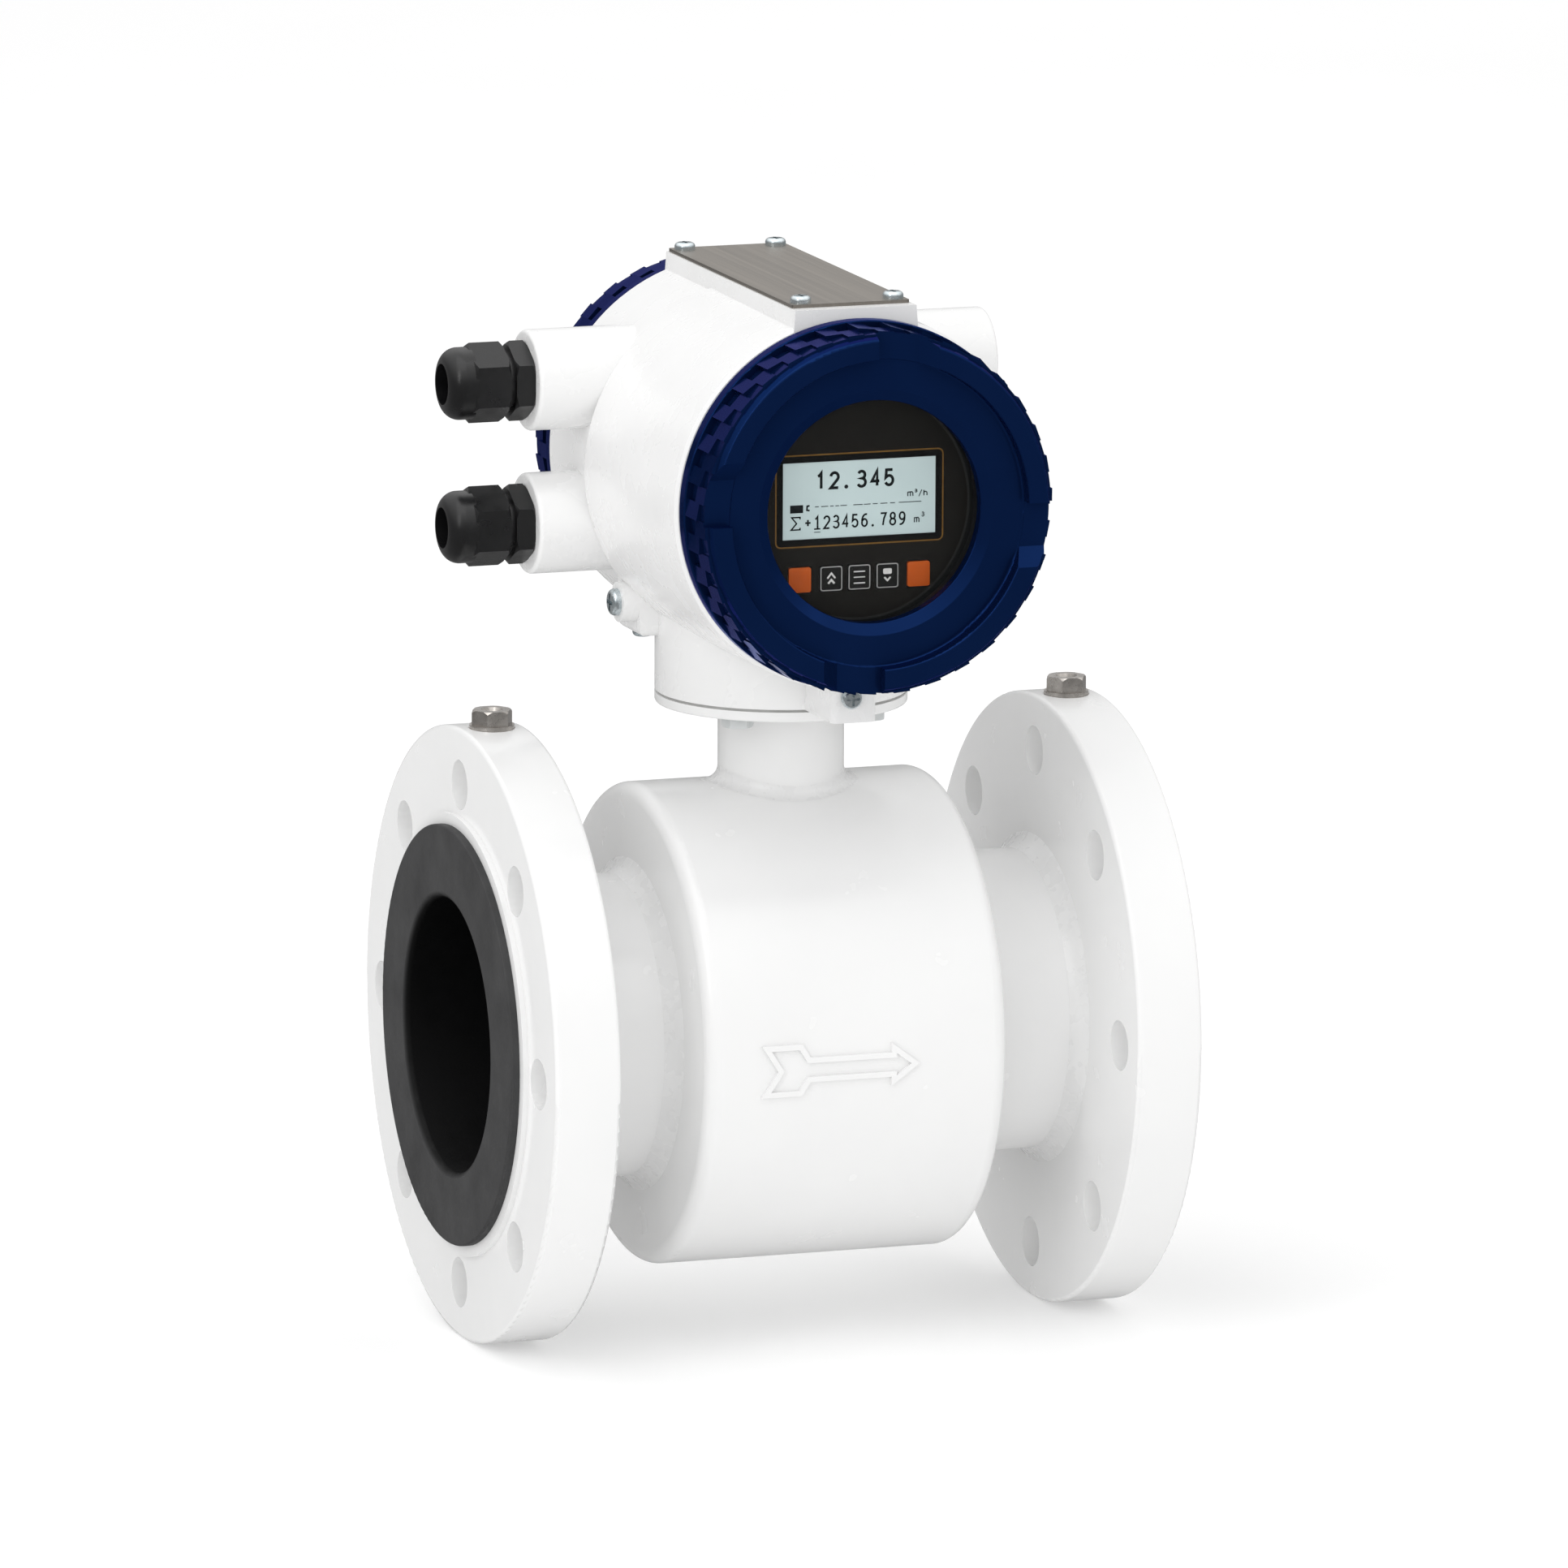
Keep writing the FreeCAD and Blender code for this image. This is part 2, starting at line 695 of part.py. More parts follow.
def is_neck_seam(edge):
    """True for the saddle-shaped edge between the neck and the housing."""
    box = edge.BoundBox
    wraps_the_neck = box.XLength > NECK_R and box.YLength > NECK_R
    is_saddle = 0 < box.ZLength < NECK_R
    return wraps_the_neck and is_saddle and box.ZMax < NECK_TOP - TOUCHING


def neck_weld():
    """Saddle-shaped bead where the neck meets the housing."""
    housing = along_x(rod(HOUSING_R, -SHELL_HALF, SHELL_HALF))
    neck = rod(NECK_R, 0, NECK_TOP)
    joined = housing.fuse(neck).removeSplitter()
    seam = [edge for edge in joined.Edges if is_neck_seam(edge)]
    rounded = joined.makeFillet(NECK_WELD, seam)
    return rounded.cut([housing, neck])


def neck_disc():
    disc = turned([
        (DISC_HOLE_R, NECK_TOP),
        (DISC_R, NECK_TOP, DISC_EDGE),
        (DISC_R, DISC_TOP),
        (DISC_HOLE_R, DISC_TOP),
    ])
    hole = rod(NECK_BOLT_R, NECK_TOP, DISC_TOP)
    return disc.cut(repeated(hole, 4, NECK_BOLT_CIRCLE_R, 45))


def base_gasket():
    hole = rod(NECK_BOLT_R, DISC_TOP, HEAD_BASE)
    washer = ring(DISC_HOLE_R, DISC_R - GASKET_INSET, DISC_TOP, HEAD_BASE)
    return washer.cut(repeated(hole, 4, NECK_BOLT_CIRCLE_R, 45))


def neck_bolts():
    bolt = hex_bolt(NECK_BOLT_ACROSS, NECK_BOLT_HEAD, NECK_BOLT_R, NECK_BOLT_LENGTH)
    bolt = placed(bolt, Vector(0, 0, NECK_TOP), -Z_DIR)
    return group(repeated(bolt, 4, NECK_BOLT_CIRCLE_R, 45))


def signal_cable():
    """Jacketed lead from the coils, up the neck and over to the main board."""
    start = Vector(0, 0, YOKE_INNER_R + YOKE_WALL)
    bend_z = HEAD_Z - PEDESTAL_R
    turn_start = Vector(0, 0, bend_z - CABLE_BEND)
    turn_end = Vector(0, -CABLE_BEND, bend_z)
    reach = CABLE_BEND * math.sqrt(0.5)
    turn_middle = Vector(0, reach - CABLE_BEND, bend_z - CABLE_BEND + reach)
    end = Vector(0, MAIN_BOARD_Y, bend_z)
    path = Part.Wire([
        Part.makeLine(start, turn_start),
        Part.Arc(turn_start, turn_middle, turn_end).toShape(),
        Part.makeLine(turn_end, end),
    ])
    section = Part.Wire(Part.makeCircle(CABLE_R, start, Z_DIR))
    return path.makePipeShell([section], True, True)


def earth_bolts():
    shank = EARTH_BOLT_LENGTH + EARTH_WASHER_THICKNESS
    bolt = hex_bolt(EARTH_BOLT_ACROSS, EARTH_BOLT_HEAD, EARTH_BOLT_R, shank)
    bolt.translate(Vector(-EARTH_BOLT_X, 0, EARTH_SEAT_Z + EARTH_WASHER_THICKNESS))
    return group([bolt, at_outlet(bolt)])


def earth_washers():
    washer = ring(EARTH_BOLT_R, EARTH_WASHER_R, EARTH_SEAT_Z, EARTH_SEAT_Z + EARTH_WASHER_THICKNESS)
    washer.translate(Vector(-EARTH_BOLT_X, 0, 0))
    return group([washer, at_outlet(washer)])


# ---------------------------------------------------------------- head casting

def barrel_front():
    """Front length of the barrel, round at the cover and wider across at the step."""
    sections = [
        (BARREL_R - BARREL_EDGE, BARREL_R - BARREL_EDGE, FRONT_Y),
        (BARREL_R, BARREL_R, FRONT_Y + BARREL_EDGE),
        (BULGE_R, BULGE_TOP_R, STEP_Y - BARREL_EDGE),
        (BULGE_R - BARREL_EDGE, BULGE_TOP_R - BARREL_EDGE, STEP_Y),
    ]
    wires = []
    for half_width, half_height, height in sections:
        middle = Vector(0, 0, height)
        if half_width > half_height:
            curve = Part.Ellipse(middle, half_width, half_height).toShape()
        else:
            curve = Part.makeCircle(half_width, middle)
        wires.append(Part.Wire(curve))
    return Part.makeLoft(wires, True, True)


def barrel():
    """Round barrel whose sides swell towards the gland bosses and step back behind them."""
    rear = turned([
        (0, PARTITION_Y),
        (BARREL_R, PARTITION_Y),
        (BARREL_R, REAR_Y, BARREL_EDGE),
        (0, REAR_Y),
    ])
    return along_head(barrel_front().fuse(rear))


def name_pad():
    """Flat pad along the top of the barrel, slightly wider at its foot."""
    low = HEAD_Z + CHAMBER_R - PAD_ROOT
    foot = PAD_HALF + PAD_DRAFT
    corners = [(-foot, low), (-PAD_HALF, PAD_TOP), (PAD_HALF, PAD_TOP), (foot, low)]
    points = [Vector(x, FRONT_Y, z) for x, z in corners]
    face = Part.Face(Part.makePolygon(points + points[:1]))
    return face.extrude(Vector(0, REAR_Y - FRONT_Y, 0))


def entry_boss(side, z):
    boss = turned([(0, 0), (BOSS_R, 0), (BOSS_R, BOSS_X, BOSS_EDGE), (0, BOSS_X)])
    return placed(boss, Vector(0, BOSS_Y, z), X_DIR * side)


def entry_bore(side, z):
    return placed(rod(ENTRY_R, WINDOW_R, BOSS_X), Vector(0, BOSS_Y, z), X_DIR * side)


def lock_block(outer_y, inner_y):
    y_span = (min(outer_y, inner_y), max(outer_y, inner_y))
    body = block(LOCK_BLOCK_X, y_span, (HEAD_BASE, LOCK_BLOCK_TOP))
    upright = [edge for edge in body.Edges if edge.BoundBox.ZLength > LUG_ROUND]
    return body.makeFillet(LUG_ROUND, upright)


def earth_lug():
    body = block(LUG_X, LUG_Y, LUG_Z)
    corners = [edge for edge in body.Edges if edge.BoundBox.ZMax < LUG_Z[1]]
    body = body.makeFillet(LUG_ROUND, corners)
    nose = placed(rod(EARTH_LUG_R, 0, -EARTH_LUG_X), Vector(0, EARTH_LUG_Y, EARTH_LUG_Z), -X_DIR)
    return body.fuse(nose)


def chambers():
    """Hollow of the front and rear compartments, with their thread lips."""
    front = [
        (0, FRONT_Y),
        (THREAD_BORE_R, FRONT_Y),
        (THREAD_BORE_R, FRONT_Y + THREAD_LIP),
        (CHAMBER_R, FRONT_Y + THREAD_LIP),
        (CHAMBER_R, PARTITION_Y),
        (0, PARTITION_Y),
    ]
    rear = [
        (0, PARTITION_Y + PARTITION),
        (CHAMBER_R, PARTITION_Y + PARTITION),
        (CHAMBER_R, REAR_Y - THREAD_LIP),
        (THREAD_BORE_R, REAR_Y - THREAD_LIP),
        (THREAD_BORE_R, REAR_Y),
        (0, REAR_Y),
    ]
    return [along_head(turned(front)), along_head(turned(rear))]


def pedestal_hollow():
    floor = HEAD_BASE + PEDESTAL_FLOOR
    cavity = rod(PEDESTAL_R - PEDESTAL_WALL, floor, PEDESTAL_TOP)
    bolt_boss = rod(NECK_BOLT_BOSS_R, floor, floor + NECK_BOLT_BOSS)
    cavity = cavity.cut(repeated(bolt_boss, 4, NECK_BOLT_CIRCLE_R, 45))
    return [cavity, rod(DISC_HOLE_R, HEAD_BASE, floor)]


def board_posts():
    post = rod(POST_R, MAIN_BOARD_Y, PARTITION_Y + PARTITION / 2)
    return [placed(post, point, Y_DIR) for point in post_points()]


def plate_screw_points():
    x = PLATE_HALF_X - PLATE_SCREW_INSET
    front = PLATE_FRONT_Y + PLATE_SCREW_INSET
    rear = PLATE_REAR_Y - PLATE_SCREW_INSET
    return [(-x, front), (x, front), (-x, rear), (x, rear)]


def head_casting():
    solid = barrel().fuse([
        name_pad(),
        rod(PEDESTAL_R, HEAD_BASE, PEDESTAL_TOP),
        entry_boss(-1, UPPER_BOSS_Z),
        entry_boss(-1, LOWER_BOSS_Z),
        entry_boss(1, UPPER_BOSS_Z),
        lock_block(LOCK_FRONT_Y, LOCK_FRONT_Y + LOCK_BLOCK_DEPTH),
        lock_block(REAR_Y, REAR_Y - LOCK_BLOCK_DEPTH),
        earth_lug(),
    ])
    casting = solid.cut(chambers() + pedestal_hollow())
    casting = casting.fuse(board_posts())
    m4_hole = rod(SCREW_M4[2], -SCREW_M4[3], 0)
    m5_hole = rod(SCREW_M5[2], -SCREW_M5[3], 0)
    holes = [
        entry_bore(-1, UPPER_BOSS_Z),
        entry_bore(-1, LOWER_BOSS_Z),
        entry_bore(1, UPPER_BOSS_Z),
        placed(m5_hole, Vector(EARTH_LUG_X, EARTH_LUG_Y, EARTH_LUG_Z), -X_DIR),
        placed(m4_hole, Vector(TAG_SCREW_X, TAG_SCREW_Y, LUG_Z[0]), -Z_DIR),
        placed(m4_hole, Vector(LOCK_SCREW_X, LOCK_FRONT_Y, LOCK_SCREW_Z), -Y_DIR),
        placed(m4_hole, Vector(LOCK_SCREW_X, REAR_Y, LOCK_SCREW_Z), Y_DIR),
        placed(rod(WIRE_HOLE_R, 0, PARTITION_Y + 2 * PARTITION), Vector(WIRE_HOLE_X, 0, HEAD_Z), Y_DIR),
    ]
    bolt_hole = rod(NECK_BOLT_R, HEAD_BASE, NECK_TOP + NECK_BOLT_LENGTH)
    holes += repeated(bolt_hole, 4, NECK_BOLT_CIRCLE_R, 45)
    for x, y in plate_screw_points():
        holes.append(placed(m4_hole, Vector(x, y, PAD_TOP + PLATE_THICKNESS), Z_DIR))
    for post in board_posts():
        base = post.Placement.Base
        holes.append(placed(rod(SCREW_M3[2], MAIN_BOARD_Y, MAIN_BOARD_Y + SCREW_M3[3]), base, Y_DIR))
    return casting.cut(holes)


def nameplate():
    length = PLATE_REAR_Y - PLATE_FRONT_Y
    sheet = plate(2 * PLATE_HALF_X, length, PAD_TOP, PAD_TOP + PLATE_THICKNESS, PLATE_CORNER)
    sheet.translate(Vector(0, (PLATE_FRONT_Y + PLATE_REAR_Y) / 2, 0))
    for x, y in plate_screw_points():
        sheet = sheet.cut(placed(rod(SCREW_M4[2], 0, PAD_TOP * 2), Vector(x, y, 0), Z_DIR))
    return sheet


def nameplate_screws():
    screw = pan_screw(SCREW_M4)
    top = PAD_TOP + PLATE_THICKNESS
    return group([placed(screw, Vector(x, y, top), Z_DIR) for x, y in plate_screw_points()])


def lug_screws():
    earth = placed(pan_screw(SCREW_M5), Vector(EARTH_LUG_X, EARTH_LUG_Y, EARTH_LUG_Z), -X_DIR)
    tag = placed(pan_screw(SCREW_M4), Vector(TAG_SCREW_X, TAG_SCREW_Y, LUG_Z[0]), -Z_DIR)
    return group([earth, tag])


def lock_screws():
    screw = pan_screw(SCREW_M4)
    front = placed(screw, Vector(LOCK_SCREW_X, LOCK_FRONT_Y, LOCK_SCREW_Z), -Y_DIR)
    rear = placed(screw, Vector(LOCK_SCREW_X, REAR_Y, LOCK_SCREW_Z), Y_DIR)
    return group([front, rear])


# ---------------------------------------------------------------- covers

def grip_teeth(low, high):
    """Saw-toothed band round the cover; each flat rises and then drops at the next one."""
    pitch = math.radians(FULL_TURN / GRIP_COUNT)
    points = []
    for index in range(GRIP_COUNT):
        start = index * pitch
        end = start + pitch
        foot_r = GRIP_R - GRIP_RISE
        points.append(Vector(foot_r * math.cos(start), foot_r * math.sin(start), low))
        points.append(Vector(GRIP_R * math.cos(end), GRIP_R * math.sin(end), low))
    band = Part.Face(Part.makePolygon(points + points[:1])).extrude(Vector(0, 0, high - low))
    return band.cut(rod(RIM_POCKET_R, low, high))


def grip_pockets(inner_r, low, high, start):
    """Pockets, each half a tooth long, along one side of the grip band."""
    half_tooth = FULL_TURN / GRIP_COUNT / 2
    corners = [(inner_r, low), (RIM_R, low), (RIM_R, high), (inner_r, high)]
    section = Part.Face(Part.Wire(outline_edges(corners)))
    return repeated(section.revolve(CENTRE, Z_DIR, half_tooth), GRIP_COUNT, 0, start * half_tooth)


def grip_band(cover_top):
    """Teeth with two staggered rows of pockets, one beside the rim and one by the bezel."""
    high = cover_top - GRIP_DROP
    teeth = grip_teeth(RIM_TOP, high)
    rim_row = grip_pockets(RIM_POCKET_R, RIM_TOP, RIM_TOP + RIM_POCKET, 0)
    bezel_row = grip_pockets(BEZEL_R, high - BEZEL_POCKET, high, 1)
    return teeth.cut(rim_row + bezel_row)


def wrench_slots(top, depth):
    """Slots across the bezel for a bar: a square end to push on and a ramp at the other."""
    floor = top - depth
    clear = top + depth
    corners = [
        (WRENCH_SLOT_START, floor),
        (WRENCH_SLOT_START, clear),
        (-WRENCH_SLOT_FLOOR - 2 * WRENCH_SLOT_RAMP, clear),
        (-WRENCH_SLOT_FLOOR, floor),
    ]
    points = [Vector(BEVEL_R, y, z) for y, z in corners]
    face = Part.Face(Part.makePolygon(points + points[:1]))
    return repeated(face.extrude(X_DIR * (RIM_R + 1 - BEVEL_R)), WRENCH_SLOTS)


def cover_outside(inner_top, cover_top):
    """Points of the threaded skirt, the rim and the bezel's flank, up to the bezel's face."""
    skirt_r = THREAD_BORE_R - SLIDE_GAP
    return [
        (SKIRT_INNER_R, inner_top),
        (SKIRT_INNER_R, -SKIRT_LENGTH),
        (skirt_r, -SKIRT_LENGTH, SKIRT_EDGE),
        (skirt_r, SEAL_THICKNESS),
        (RIM_R, SEAL_THICKNESS, RIM_EDGE),
        (RIM_R, RIM_TOP, RIM_EDGE),
        (RIM_POCKET_R, RIM_TOP),
        (RIM_POCKET_R, RIM_TOP + RIM_POCKET),
        (BEZEL_R, RIM_TOP + RIM_POCKET),
        (BEZEL_R, cover_top - BEZEL_TAPER),
        (BEZEL_FACE_R, cover_top, BEZEL_EDGE),
    ]


def front_cover():
    retainer_start = GLASS_SEAT - GLASS_GASKET - GLASS_THICKNESS - RETAINER
    profile = cover_outside(retainer_start, FRONT_COVER_TOP) + [
        (DISH_R, FRONT_COVER_TOP, DISH_EDGE),
        (DISH_R, DISH_FLOOR, DISH_EDGE),
        (BEVEL_R, DISH_FLOOR, WINDOW_EDGE),
        (WINDOW_R, WINDOW_LIP_TOP, WINDOW_EDGE),
        (WINDOW_R, GLASS_SEAT),
        (GLASS_R, GLASS_SEAT),
        (GLASS_R, retainer_start),
    ]
    body = turned(profile).fuse(grip_band(FRONT_COVER_TOP))
    body = body.cut(wrench_slots(FRONT_COVER_TOP, WRENCH_SLOT_DEPTH))
    return outwards_front(body.removeSplitter())


def rear_cover():
    inner_top = REAR_COVER_TOP - REAR_COVER_WALL
    floor = REAR_COVER_TOP - REAR_DISH_DEPTH
    profile = cover_outside(inner_top, REAR_COVER_TOP) + [
        (DISH_R, REAR_COVER_TOP, DISH_EDGE),
        (DISH_R - REAR_DISH_DEPTH, floor),
        (0, floor),
        (0, inner_top),
    ]
    body = turned(profile).fuse(grip_band(REAR_COVER_TOP))
    body = body.cut(wrench_slots(REAR_COVER_TOP, REAR_SLOT_DEPTH))
    return outwards_rear(body.removeSplitter())


def cover_seal():
    return turned([
        (SEAL_INNER_R, 0),
        (SEAL_OUTER_R, 0),
        (SEAL_OUTER_R, SEAL_THICKNESS),
        (SEAL_INNER_R, SEAL_THICKNESS),
    ])


def window_glass():
    top = GLASS_SEAT - GLASS_GASKET
    return outwards_front(rod(GLASS_R, top - GLASS_THICKNESS, top))


def glass_gasket():
    return outwards_front(ring(WINDOW_LIP_R, GLASS_R, GLASS_SEAT - GLASS_GASKET, GLASS_SEAT))


def glass_retainer():
    top = GLASS_SEAT - GLASS_GASKET - GLASS_THICKNESS
    body = ring(RETAINER_INNER_R, GLASS_R, top - RETAINER, top)
    half = RETAINER_NOTCH / 2
    notch = block((-half, half), (-GLASS_R, GLASS_R), (top - RETAINER, top - RETAINER / 2))
    return outwards_front(body.cut(notch))


# ---------------------------------------------------------------- display and boards

def fascia():
    """Round front panel with a window for the display and openings for the keys."""
    low = FASCIA_TOP - FASCIA_THICKNESS
    ledge = HOLDER_TOP - HOLDER_LEDGE
    panel = rod(FASCIA_R, low, FASCIA_TOP).fuse(rod(HOLDER_INNER_R, low, ledge)).removeSplitter()
    window = plate(LCD_WINDOW[0] + RUNNING_GAP, LCD_WINDOW[1] + RUNNING_GAP, low, FASCIA_TOP)
    window.translate(Vector(0, LCD_RISE, 0))
    panel = panel.cut(window)
    for x in KEY_PITCHES:
        opening = plate(KEY_SIZE[0] + 2 * SLIDE_GAP, KEY_SIZE[1] + 2 * SLIDE_GAP, low, FASCIA_TOP, KEY_CORNER)
        opening.translate(Vector(x, KEY_DROP, 0))
        panel = panel.cut(opening)
    return panel


def lcd_panel():
    back_top = FASCIA_TOP - FASCIA_THICKNESS
    glass = plate(*LCD_WINDOW, back_top, FASCIA_TOP - LCD_RECESS)
    frame = plate(*LCD_BACK, back_top - LCD_DEPTH, back_top)
    body = glass.fuse(frame)
    body.translate(Vector(0, LCD_RISE, 0))
    return body


def display_holder():
    """Round carrier that stands on the display board and holds the fascia by its rim."""
    return turned([
        (HOLDER_INNER_R, DISPLAY_BOARD_TOP),
        (HOLDER_OUTER_R, DISPLAY_BOARD_TOP),
        (HOLDER_OUTER_R, HOLDER_TOP, HOLDER_EDGE),
        (FASCIA_R, HOLDER_TOP),
        (FASCIA_R, HOLDER_TOP - HOLDER_LEDGE),
        (HOLDER_INNER_R, HOLDER_TOP - HOLDER_LEDGE),
    ])


def key_cap(x):
    """One push key with its retaining flange and stem."""
    top = FASCIA_TOP + KEY_PROUD
    flange_top = FASCIA_TOP - FASCIA_THICKNESS
    switch_top = DISPLAY_BOARD_TOP + SWITCH_HEIGHT + SWITCH_PLUNGER
    cap = plate(*KEY_SIZE, flange_top - KEY_FLANGE_THICKNESS, top, KEY_CORNER)
    flange_size = (KEY_SIZE[0] + 2 * KEY_FLANGE, KEY_SIZE[1] + 2 * KEY_FLANGE)
    skirt = plate(*flange_size, flange_top - KEY_FLANGE_THICKNESS, flange_top)
    stem = rod(KEY_STEM_R, switch_top, flange_top)
    key = cap.fuse([skirt, stem])
    key.translate(Vector(x, KEY_DROP, 0))
    return key.removeSplitter()


def key_switches():
    top = DISPLAY_BOARD_TOP + SWITCH_HEIGHT
    switch = plate(SWITCH_SIZE, SWITCH_SIZE, DISPLAY_BOARD_TOP, top)
    rim = ring(SWITCH_PLUNGER_R, SWITCH_PLUNGER_R + SWITCH_RIM, top, top + SWITCH_PLUNGER - KEY_TRAVEL)
    body = switch.fuse(rim)
    switches = []
    for x in KEY_PITCHES:
        copy = body.copy()
        copy.translate(Vector(x, KEY_DROP, 0))
        switches.append(copy)
    return group(switches)


def post_points():
    sides = (-POST_SPREAD, POST_SPREAD)
    return [Vector(x, 0, HEAD_Z + z) for x in sides for z in sides]


def display_board():
    board = rod(DISPLAY_BOARD_R, DISPLAY_BOARD_TOP - BOARD_THICKNESS, DISPLAY_BOARD_TOP)
    board = outwards_front(board)
    hole = rod(SCREW_M3[2], FRONT_Y - DISPLAY_BOARD_TOP, MAIN_BOARD_Y)
    return board.cut([placed(hole, point, Y_DIR) for point in post_points()])


def display_screws():
    seat = Vector(0, FRONT_Y - DISPLAY_BOARD_TOP, 0)
    return group([placed(pan_screw(SCREW_M3), point + seat, -Y_DIR) for point in post_points()])


def display_standoffs():
    """Hexagonal pillars, studded into the casting's posts through the main board."""
    board_back = FRONT_Y - DISPLAY_BOARD_TOP + BOARD_THICKNESS
    main_front = MAIN_BOARD_Y - BOARD_THICKNESS
    tapped = rod(SCREW_M3[2], board_back, board_back + SCREW_M3[3] - BOARD_THICKNESS)
    pillar = hexagon(STANDOFF_ACROSS, board_back, main_front).cut(tapped)
    stud = rod(SCREW_M3[2], main_front, MAIN_BOARD_Y + SCREW_M3[3])
    pillar = pillar.fuse(stud)
    return group([placed(pillar, point, Y_DIR) for point in post_points()])


def main_board():
    body = along_head(rod(MAIN_BOARD_R, MAIN_BOARD_Y - BOARD_THICKNESS, MAIN_BOARD_Y))
    hole = rod(SCREW_M3[2], MAIN_BOARD_Y - BOARD_THICKNESS, MAIN_BOARD_Y)
    return body.cut([placed(hole, point, Y_DIR) for point in post_points()])


def board_block(size):
    """Block standing on the display side of the main board."""
    width, height, depth, centre_x, centre_z = size
    front = MAIN_BOARD_Y - BOARD_THICKNESS
    x_span = (centre_x - width / 2, centre_x + width / 2)
    low = HEAD_Z + centre_z - height / 2
    return block(x_span, (front - depth, front), (low, low + height))


def board_components():
    """Transformer, connector, regulator and capacitors of the main board."""
    transformer = board_block(TRANSFORMER)
    transformer = transformer.makeFillet(TRANSFORMER_EDGE, transformer.Edges)
    parts = [transformer, board_block(CONNECTOR), board_block(REGULATOR)]
    can = turned([
        (0, 0),
        (CAPACITOR_R, 0),
        (CAPACITOR_R, CAPACITOR_HEIGHT, CAPACITOR_EDGE),
        (0, CAPACITOR_HEIGHT),
    ])
    front = MAIN_BOARD_Y - BOARD_THICKNESS
    for x in CAPACITOR_X:
        parts.append(placed(can, Vector(x, front, HEAD_Z - CAPACITOR_DROP), -Y_DIR))
    return group(parts)


def terminal_xs():
    pitch = 2 * TERMINAL_HALF / TERMINAL_COUNT
    return [-TERMINAL_HALF + pitch * (index + 0.5) for index in range(TERMINAL_COUNT)]


def terminal_strip():
    """Moulded strip with a row of screw wells above a row of wire entries."""
    foot = PARTITION_Y + PARTITION
    low = HEAD_Z + TERMINAL_Z
    profile = [
        Vector(-TERMINAL_HALF, foot, low),
        Vector(-TERMINAL_HALF, foot + TERMINAL_STEP, low),
        Vector(-TERMINAL_HALF, foot + TERMINAL_DEPTH, low + TERMINAL_STEP),
        Vector(-TERMINAL_HALF, foot + TERMINAL_DEPTH, low + TERMINAL_HEIGHT),
        Vector(-TERMINAL_HALF, foot, low + TERMINAL_HEIGHT),
    ]
    body = Part.Face(Part.makePolygon(profile + profile[:1])).extrude(X_DIR * 2 * TERMINAL_HALF)
    screw_z = low + TERMINAL_HEIGHT - TERMINAL_STEP
    for x in terminal_xs():
        well = rod(SCREW_M3[0] + SLIDE_GAP, foot + TERMINAL_STEP, foot + TERMINAL_DEPTH)
        body = body.cut(placed(well, Vector(x, 0, screw_z), Y_DIR))
        shank = rod(SCREW_M3[2], foot + TERMINAL_STEP - SCREW_M3[3], foot + TERMINAL_STEP)
        body = body.cut(placed(shank, Vector(x, 0, screw_z), Y_DIR))
        entry_y = foot + WIRE_ENTRY_WALL
        entry = block(
            (x - WIRE_ENTRY / 2, x + WIRE_ENTRY / 2),
            (entry_y, entry_y + WIRE_ENTRY),
            (low, low + TERMINAL_STEP),
        )
        body = body.cut(entry)
    return body


def terminal_screws():
    screw_z = HEAD_Z + TERMINAL_Z + TERMINAL_HEIGHT - TERMINAL_STEP
    seat = PARTITION_Y + PARTITION + TERMINAL_STEP
    return group([placed(pan_screw(SCREW_M3), Vector(x, seat, screw_z), Y_DIR) for x in terminal_xs()])


# ---------------------------------------------------------------- cable glands

def at_entry(shape, z, side=-1):
    return placed(shape, Vector(side * BOSS_X, BOSS_Y, z), X_DIR * side)


def gland_body():
    """Screwed body with its lower hexagon and the threaded neck that takes the dome nut."""
    bore = turned([
        (0, -GLAND_THREAD),
        (GLAND_ROOT_R, -GLAND_THREAD),
        (GLAND_ROOT_R, GLAND_SEAL_START),
        (GLAND_BORE_R, GLAND_SEAL_START),
        (GLAND_BORE_R, GLAND_NECK_TOP),
        (0, GLAND_NECK_TOP),
    ])
    neck = rod(GLAND_NECK_R, 0, GLAND_NECK_TOP)
    foot = chamfered_hexagon(GLAND_ACROSS, 0, GLAND_HEX, HEX_CHAMFER)
    return foot.fuse([neck, rod(ENTRY_R, -GLAND_THREAD, 0)]).cut(bore).removeSplitter()


def gland_nut():
    """Dome nut, hexagonal at its foot and rounded over to the cord mouth."""
    hexagon_part = chamfered_hexagon(GLAND_ACROSS, GLAND_NUT_START, GLAND_NUT_HEX_TOP, HEX_CHAMFER)
    dome = turned([
        (0, GLAND_NUT_START + HEX_CHAMFER),
        (DOME_BASE_R - HEX_CHAMFER, GLAND_NUT_START + HEX_CHAMFER),
        (DOME_BASE_R - HEX_CHAMFER, GLAND_NUT_HEX_TOP - HEX_CHAMFER),
        (DOME_BASE_R, GLAND_NUT_HEX_TOP - HEX_CHAMFER),
        (DOME_BASE_R, GLAND_NUT_TOP, DOME_ROUND),
        (0, GLAND_NUT_TOP),
    ])
    bore = turned([
        (0, GLAND_NUT_START),
        (GLAND_NECK_R + SLIDE_GAP, GLAND_NUT_START),
        (GLAND_NECK_R + SLIDE_GAP, GLAND_SEAL_TOP),
        (GLAND_MOUTH_R, GLAND_SEAL_TOP),
        (GLAND_MOUTH_R, GLAND_NUT_TOP),
        (0, GLAND_NUT_TOP),
    ])
    return hexagon_part.fuse(dome).cut(bore).removeSplitter()


